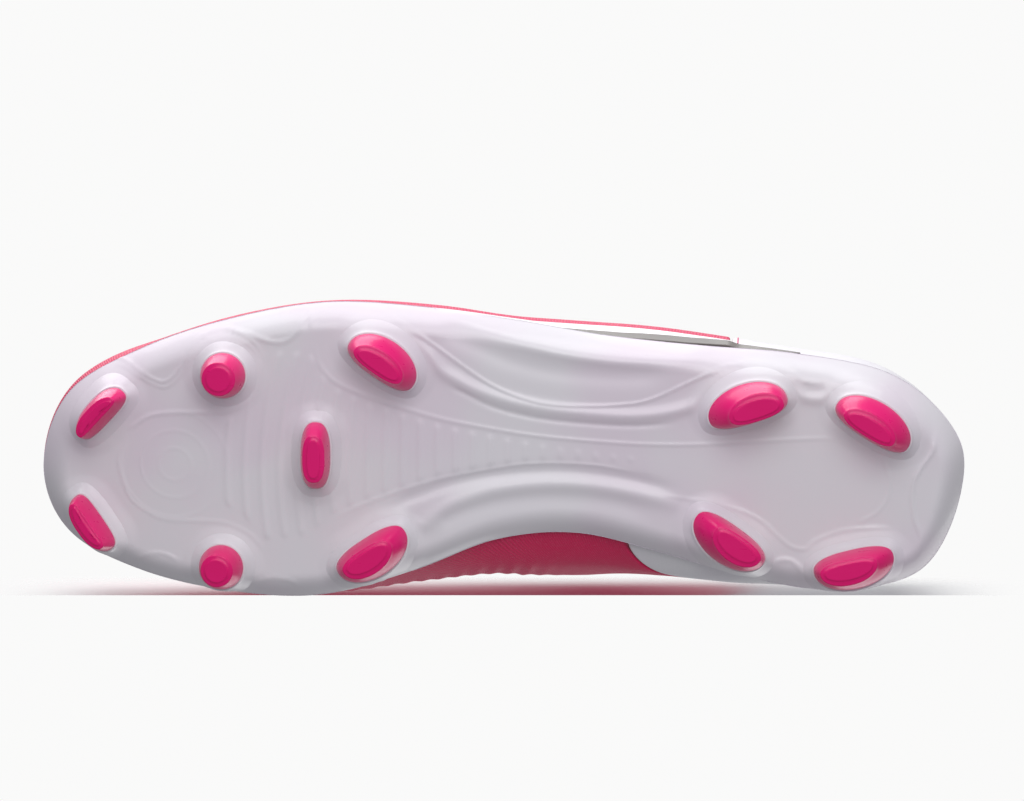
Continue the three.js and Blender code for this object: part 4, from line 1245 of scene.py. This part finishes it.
def tongueRow(k, depth):
    edge = tongue["edge"] + tongue["widen"] * (tongue["foot"] - k) / (tongue["foot"] - throatTop)
    rows = np.array([edge, (edge + 1) / 2, 1.0])
    left, right = offUpper(k, rows, depth), offUpper(keyCount - k, rows, depth)
    middle = []
    for share in (0.25, 0.5, 0.75):
        point = left[2] * (1 - share) + right[2] * share
        point[2] += tongue["crown"] * math.sin(math.pi * share)
        middle.append(point)
    return np.array([*left, *middle, *right[::-1]])


def tongueFace(depth):
    rows = [tongueRow(k, depth) for k in tongue["places"]]
    share = np.sin(np.pi * np.linspace(0, 1, len(rows[0])))
    foot = rows[0].copy()
    foot[:, 1] -= tongue["step"] + tongue["reach"] * share
    foot[:, 2] -= tongue["dip"] + tongue["drop"] * share
    rows.insert(0, foot)
    last = rows[-1]
    for share in (0.5, 1.0):
        free = last.copy()
        free[:, 0] *= 1 - tongue["narrow"] * share
        free[:, 1] += tongue["back"] * share
        free[:, 2] += tongue["rise"] * share
        rows.append(free)
    columns = zip(*rows)
    along = np.stack([curveThrough(column, tongue["rows"]) for column in columns], 1)
    return np.stack([curveThrough(row, tongue["columns"]) for row in along])


def tongueMesh():
    top, bottom = tongueFace(tongueUnder), tongueFace(tongueUnder - boot["tongueWall"])
    middle, half = (top + bottom) / 2, (top - bottom) / 2
    across = np.linspace(0, 1, tongue["columns"])[None, :]
    along = np.linspace(0, 1, tongue["rows"])[:, None]
    edge = np.minimum(np.minimum(across, 1 - across) * tongue["width"],
                      np.minimum(along, 1 - along) * tongue["length"])
    turned = np.sqrt(1 - (1 - np.clip(edge / tongue["roll"], 0, 1)) ** 2)
    full = (0.08 + 0.92 * turned) * (0.42 + 0.58 * smooth(1.5, 6.5, edge))
    for channel in tongue["channels"]:
        away = (across - channel) * tongue["width"] / tongue["channelHalf"]
        full = full * (1 - 0.45 * np.exp(-away ** 2) * smooth(4, 12, edge))
    corner = smooth(0.86, 1.0, along) * (np.abs(across - 0.5) * 2) ** 3
    slide = np.zeros(middle.shape)
    slide[..., 1] = -tongue["cornerBack"] * corner
    slide[..., 2] = -tongue["cornerDown"] * corner
    full = full[..., None]
    outer, inner = middle + slide + half * full, middle + slide - half * full
    return sheetMesh("tongue_pad", outer, inner, flowUv(outer), 60)


tonguePad = setUp(addObject("tongue_pad", tongueMesh()), "tongue", "tongue_fabric", "tongue", body="tongue")
print("tongue made")


lace = {
    "halfWidth": 1.85,
    "halfThick": 0.62,
    "leave": 0.2,
    "arrive": 0.75,
    "lift": 0.8,
    "firstLift": 2.5,
    "barLift": 1.0,
    "tuck": 0.95,
    "sides": 20,
    "steps": 9,
}
laceOver = overlayLift + boot["fitGap"] + boot["laceRadius"]


# Points of one strand from the foot of the throat to its top, each with the way its flat side looks.
def strand(startMedial):
    last = len(eyelets) - 1
    points, ways = [], []

    def put(point, k):
        points.append(np.array(point))
        ways.append(upperNormal(k, eyeletRow) if np.isscalar(k) else np.array(k))

    medial = startMedial
    for row in range(last + 1):
        here = keyCount - eyelets[row] if medial else eyelets[row]
        depths = [laceOver, 0.0, laceUnder]
        for depth in (depths if row == 0 else depths[::-1]):
            put(offUpper(here, eyeletRow, depth), float(here))
        step = eyelets[row + 1] - eyelets[row] if row < last else 0.5 * (eyelets[last] - eyelets[last - 1])
        leave = here + (-1 if medial else 1) * lace["leave"] * step
        far = eyelets[row] if medial else keyCount - eyelets[row]
        arrive = far + (1 if medial else -1) * lace["arrive"] * step
        start = offUpper(leave, 1.0, laceUnder if row == 0 else laceOver)
        finish = offUpper(arrive, 1.0, laceUnder)
        cross = (start + finish) / 2
        cross[2] += tongue["crown"] + (lace["firstLift"] if row == 0 else lace["lift"])
        if (row % 2 == 0) == startMedial:
            cross[2] += 2 * boot["laceRadius"] + boot["fitGap"]
        put(start, float(leave))
        put(cross, unit(upperNormal(leave, 1.0) + upperNormal(arrive, 1.0)))
        put(finish, float(arrive))
        if row == last:
            put(offUpper(arrive, lace["tuck"], laceUnder), float(arrive))
        medial = not medial
    return points, ways


# A curve through the points whose bends stay close to them, with even steps between two points.
def centripetal(points, steps):
    p = [2 * points[0] - points[1], *points, 2 * points[-1] - points[-2]]
    path = []
    for i in range(len(p) - 3):
        q = p[i:i + 4]
        gaps = [max(np.linalg.norm(b - a), 1e-6) ** 0.5 for a, b in zip(q, q[1:])]
        k = np.concatenate([[0.0], np.cumsum(gaps)])
        for at in np.linspace(k[1], k[2], steps, endpoint=False):
            part = q
            for span in (1, 2):
                part = [((k[j + span] - at) * part[j] + (at - k[j]) * part[j + 1]) / (k[j + span] - k[j])
                        for j in range(4 - span)]
            path.append(((k[2] - at) * part[0] + (at - k[1]) * part[1]) / (k[2] - k[1]))
    path.append(points[-1])
    return np.array(path)


def laceMesh():
    up, upWays = strand(True)
    down, downWays = strand(False)
    bar = (down[0] + up[0]) / 2
    bar[2] += lace["barLift"]
    barWay = unit(downWays[0] + upWays[0])
    points = [*down[::-1], bar, *up]
    ways = [*downWays[::-1], barWay, *upWays]
    path = centripetal(points, lace["steps"])
    place = np.linspace(0, len(ways) - 1, len(path))
    wanted = np.stack([np.interp(place, np.arange(len(ways)), np.array(ways)[:, i]) for i in range(3)], -1)
    along = unit(np.gradient(path, axis=0))
    rings = []
    flat = unit(wanted[0] - along[0] * (wanted[0] @ along[0]))
    angle = np.linspace(0, 2 * np.pi, lace["sides"], endpoint=False)
    c, s = np.cos(angle), np.sin(angle)
    ca, sa = np.sign(c) * np.abs(c) ** 0.8, np.sign(s) * np.abs(s) ** 0.55
    for i, centre in enumerate(path):
        carried = unit(flat - along[i] * (flat @ along[i]))
        target = wanted[i] - along[i] * (wanted[i] @ along[i])
        size = np.linalg.norm(target)
        pull = 0.35 * smooth(0.25, 0.8, size)
        if size > 1e-6:
            sign = 1 if (target @ carried) >= 0 else -1
            carried = unit(carried * (1 - pull) + sign * target / size * pull)
        flat = carried
        side = np.cross(along[i], flat)
        tip = min(1.0, 0.35 + 0.65 * min(i, len(path) - 1 - i) / 4)
        rings.append(centre + lace["halfWidth"] * tip * ca[:, None] * side
                     + lace["halfThick"] * sa[:, None] * flat)
    points = np.array(rings)
    run = np.concatenate([[0], np.cumsum(np.linalg.norm(np.diff(path, axis=0), axis=-1))])
    uvs = np.stack(np.broadcast_arrays(run[:, None], (lace["halfWidth"] * ca)[None, :]), -1) * mm
    return meshFrom("flat_lace", points.reshape(-1, 3), loftFaces(len(rings), lace["sides"]), uvs, 60)


setUp(addObject("flat_lace", laceMesh()), "lace", "lace", "lace")
print("lace made")


# One Geometry Nodes tree and its named inputs.
class Growth(NodeTree):
    def __init__(self, name, inputs):
        self.tree = bpy.data.node_groups.new(name, "GeometryNodeTree")
        self.tree.interface.new_socket("Geometry", in_out="INPUT", socket_type="NodeSocketGeometry")
        self.sockets = {}
        for label, (kind, value) in inputs.items():
            socket = self.tree.interface.new_socket(label, in_out="INPUT", socket_type=kind)
            if value is not None:
                socket.default_value = value
            self.sockets[label] = socket.identifier
        self.tree.interface.new_socket("Geometry", in_out="OUTPUT", socket_type="NodeSocketGeometry")
        self.start = self.tree.nodes.new("NodeGroupInput")
        self.end = self.tree.nodes.new("NodeGroupOutput")

    # The instances become real, take the finish and leave the tree.
    def close(self, instances):
        real = self.node("GeometryNodeRealizeInstances", None, {0: instances})
        dressed = self.node("GeometryNodeSetMaterial", None,
                            {"Geometry": real.outputs[0], "Material": self.start.outputs["Finish"]})
        self.tree.links.new(dressed.outputs[0], self.end.inputs[0])

    def grow(self, piece, values):
        modifier = piece.modifiers.new("growth", "NODES")
        modifier.node_group = self.tree
        for label, value in values.items():
            modifier[self.sockets[label]] = value
        applied(piece)
        return piece


stitch = {"pitch": 2.3 * mm, "long": 1.7 * mm, "thick": 0.42 * mm}


def stitchTree():
    growth = Growth("stitches", {
        "Pitch": ("NodeSocketFloat", stitch["pitch"]),
        "Long": ("NodeSocketFloat", stitch["long"]),
        "Thick": ("NodeSocketFloat", stitch["thick"]),
        "Finish": ("NodeSocketMaterial", None),
    })
    routes = growth.node("GeometryNodeMeshToCurve", None, {"Mesh": growth.start.outputs["Geometry"]})
    places = growth.node("GeometryNodeResampleCurve", {"mode": "LENGTH"},
                         {"Curve": routes.outputs[0], "Length": growth.start.outputs["Pitch"]})
    tangent = growth.node("GeometryNodeInputTangent")
    turn = growth.node("FunctionNodeAlignRotationToVector", {"axis": "X"}, {"Vector": tangent.outputs[0]})
    bead = growth.node("GeometryNodeMeshUVSphere", None, {"Segments": 8, "Rings": 6, "Radius": 0.5})
    size = growth.node("ShaderNodeCombineXYZ", None, {"X": growth.start.outputs["Long"],
                                                      "Y": growth.start.outputs["Thick"],
                                                      "Z": growth.start.outputs["Thick"]})
    laid = growth.node("GeometryNodeInstanceOnPoints", None,
                       {"Points": places.outputs[0], "Instance": bead.outputs[0],
                        "Rotation": turn.outputs[0], "Scale": size.outputs[0]})
    growth.close(laid.outputs[0])
    return growth


def routeObject(name, routes):
    points, edges = [], []
    for route in routes:
        first = len(points)
        points += (np.asarray(route) * mm + shift).tolist()
        edges += [(first + i, first + i + 1) for i in range(len(route) - 1)]
    mesh = bpy.data.meshes.new(name)
    mesh.from_pydata(points, edges, [])
    return addObject(name, mesh)


# A line over the upper between two places, at one height.
def overLine(start, end, row, lift, count=120):
    return offUpper(np.linspace(start, end, count), row, lift)


def upLine(place, low, high, lift, count=60):
    return offUpper(place, np.linspace(low, high, count), lift)


stitches = stitchTree()
onFilm = overlayLift + 0.08
onShell = 0.1
onTape = 2 * overlayLift + 0.08
whiteRoutes = []
for start, end in ((top + 0.05, throatFoot - 0.06), (keyCount - throatFoot + 0.06, keyCount - top - 0.05)):
    whiteRoutes += [overLine(start, end, 0.803, onFilm), overLine(start, end, 0.962, onFilm)]
pinkRoutes = [
    overLine(keyCount - 3.9, keyCount + 3.6, 0.965, onShell, 200),
    upLine(vampBack[0] + keyCount - 0.07, 0.2, 0.96, onShell),
    upLine(keyCount - film["tabReach"] + 0.07, 0.64, 0.97, onTape),
    upLine(keyCount + film["tabReach"] - 0.07, 0.64, 0.97, onTape),
]
share = np.linspace(0.42, 0.96, 50)
pinkRoutes.append(offUpper(medialSeam(share) + 0.08, share, onShell))
for name, look, slotName, routes in (("white_stitches", "thread", "lace", whiteRoutes),
                                     ("pink_stitches", "pinkThread", "webbing", pinkRoutes)):
    sewn = stitches.grow(routeObject(name, routes), {"Finish": finishes[look]})
    sewn.data.shade_smooth()
    setUp(sewn, look, slotName)
print("stitches made")

ringSize = {"radius": 2.55 * mm, "thick": 0.42 * mm}


def ringTree():
    growth = Growth("eyelet_rings", {
        "Radius": ("NodeSocketFloat", ringSize["radius"]),
        "Thick": ("NodeSocketFloat", ringSize["thick"]),
        "Finish": ("NodeSocketMaterial", None),
    })
    loop = growth.node("GeometryNodeCurvePrimitiveCircle", None,
                       {"Resolution": 32, "Radius": growth.start.outputs["Radius"]})
    section = growth.node("GeometryNodeCurvePrimitiveCircle", None,
                          {"Resolution": 10, "Radius": growth.start.outputs["Thick"]})
    ring = growth.node("GeometryNodeCurveToMesh", None,
                       {"Curve": loop.outputs[0], "Profile Curve": section.outputs[0]})
    out = growth.node("GeometryNodeInputNamedAttribute", {"data_type": "FLOAT_VECTOR"}, {"Name": "out"})
    turn = growth.node("FunctionNodeAlignRotationToVector", {"axis": "Z"}, {"Vector": out.outputs[0]})
    laid = growth.node("GeometryNodeInstanceOnPoints", None,
                       {"Points": growth.start.outputs["Geometry"], "Instance": ring.outputs[0],
                        "Rotation": turn.outputs[0]})
    growth.close(laid.outputs[0])
    return growth


def ringPoints():
    mesh = bpy.data.meshes.new("eyelet_rings")
    places = np.array(eyeletPlaces())
    mesh.from_pydata((offUpper(places, eyeletRow, overlayLift) * mm + shift).tolist(), [], [])
    out = mesh.attributes.new("out", "FLOAT_VECTOR", "POINT")
    out.data.foreach_set("vector", upperNormal(places, eyeletRow).ravel())
    return addObject("eyelet_rings", mesh)


rings = ringTree().grow(ringPoints(), {"Finish": finishes["film"]})
tidyMesh(rings.data, 60)
setUp(rings, "film", "film")
print("eyelet rings made")


room = {
    "wallFrom": 0.042,       # where the wall starts above the ground, in metres
    "wallTall": 0.5,
    "wallGap": 0.0045,
    "groundGap": 0.0004,
    "fadeAlong": (-0.165, -0.12),    # the wall shows between these distances from the middle
    "fadeUp": (-0.08, -0.055),
    "half": 1.6,
    "pale": (0.9, 0.9, 0.905, 1.0),
    "air": (0.955, 0.955, 0.952, 1.0),
    "glow": (0.96, 0.97, 1.0, 1.0),
    "glowStrength": 0.29,
}


# A pale surface that is seen from its front only. With a fade it also clears towards its ends.
def paleFinish(name, fade=False):
    finish = Finish(name, **{"Base Color": room["pale"], "Roughness": 0.9, "Specular IOR Level": 0.1})
    clearing = finish.out("ShaderNodeNewGeometry", output="Backfacing")
    if fade:
        place = finish.node("ShaderNodeSeparateXYZ", None, {0: finish.where()})
        along, up = Wire(finish, place.outputs["Y"]), Wire(finish, place.outputs["Z"])
        inside = (finish.band(along, *room["fadeAlong"]) * finish.band(along * -1, *room["fadeAlong"])
                  * finish.band(up * -1, *room["fadeUp"]))
        clearing = finish.out("ShaderNodeMath", {"operation": "MAXIMUM"}, {0: clearing, 1: 1 - inside})
    clear = finish.node("ShaderNodeBsdfTransparent")
    mix = finish.node("ShaderNodeMixShader", None, {0: clearing})
    finish.tree.links.new(finish.shader.outputs[0], mix.inputs[1])
    finish.tree.links.new(clear.outputs[0], mix.inputs[2])
    finish.tree.links.new(mix.outputs[0], finish.tree.nodes["Material Output"].inputs["Surface"])
    return finish.material


def stageSheet(name, corners, finish):
    mesh = bpy.data.meshes.new(name)
    mesh.from_pydata(corners, [], [(0, 1, 2, 3)])
    sheet = addObject(name, mesh)
    mesh.materials.append(finish)
    for rays in ("shadow", "diffuse", "glossy", "transmission"):
        setattr(sheet, "visible_" + rays, False)
    return sheet


half = room["half"]
ground = cadLow[2] - room["groundGap"]
floorCorners = [(x, y, ground) for x, y in ((-half, -half), (half, -half), (half, half), (-half, half))]
stageSheet("ground", floorCorners, paleFinish("pale_ground"))
wallX = plateLow[0] - room["wallGap"]
low, high = ground + room["wallFrom"], room["wallTall"]
wallCorners = [(wallX, y, z) for y, z in ((-half, low), (half, low), (half, high), (-half, high))]
sideWall = stageSheet("side_wall", wallCorners, paleFinish("pale_wall", fade=True))


# name: place, aim, size and power
lamps = {
    "key": ((1.4, 0.0, 0.1), (0, 0, 0.02), (1.8, 0.7), 10.5),
    "front": ((0.85, 0.1, -1.2), (0, 0, 0.02), (1.2, 1.2), 12.5),
    "top": ((1.0, -0.3, 1.1), (0, 0, 0.05), (1.3, 1.3), 16),
    "back": ((-1.0, 0.7, 0.9), (0, 0, 0.05), (1.2, 1.2), 6),
}


def softLight(name, place, aim, size, power):
    data = bpy.data.lights.new(name, "AREA")
    data.shape = "RECTANGLE"
    data.size, data.size_y = size
    data.energy = power
    lamp = bpy.data.objects.new(name, data)
    lamp.location = place
    lamp.rotation_euler = (Vector(aim) - Vector(place)).to_track_quat("-Z", "Y").to_euler()
    bpy.context.scene.collection.objects.link(lamp)
    return lamp


lit = {name: softLight(name, *lamp) for name, lamp in lamps.items()}

# The front light leaves the wall alone, so the shade beside the shoe stays deep.
spared = bpy.data.collections.new("spared_by_front")
spared.objects.link(sideWall)
lit["front"].light_linking.receiver_collection = spared
spared.collection_objects[0].light_linking.link_state = "EXCLUDE"


def makeWorld():
    world = bpy.data.worlds.new("studio")
    world.use_nodes = True
    tree = world.node_tree
    seen = tree.nodes.new("ShaderNodeBackground")
    seen.inputs["Color"].default_value = room["air"]
    glow = tree.nodes["Background"]
    glow.inputs["Color"].default_value = room["glow"]
    glow.inputs["Strength"].default_value = room["glowStrength"]
    path = tree.nodes.new("ShaderNodeLightPath")
    mix = tree.nodes.new("ShaderNodeMixShader")
    tree.links.new(path.outputs["Is Camera Ray"], mix.inputs[0])
    tree.links.new(glow.outputs[0], mix.inputs[1])
    tree.links.new(seen.outputs[0], mix.inputs[2])
    tree.links.new(mix.outputs[0], tree.nodes["World Output"].inputs["Surface"])
    bpy.context.scene.world = world


makeWorld()
bpy.context.scene.view_settings.view_transform = "Standard"
print("stage and light set")
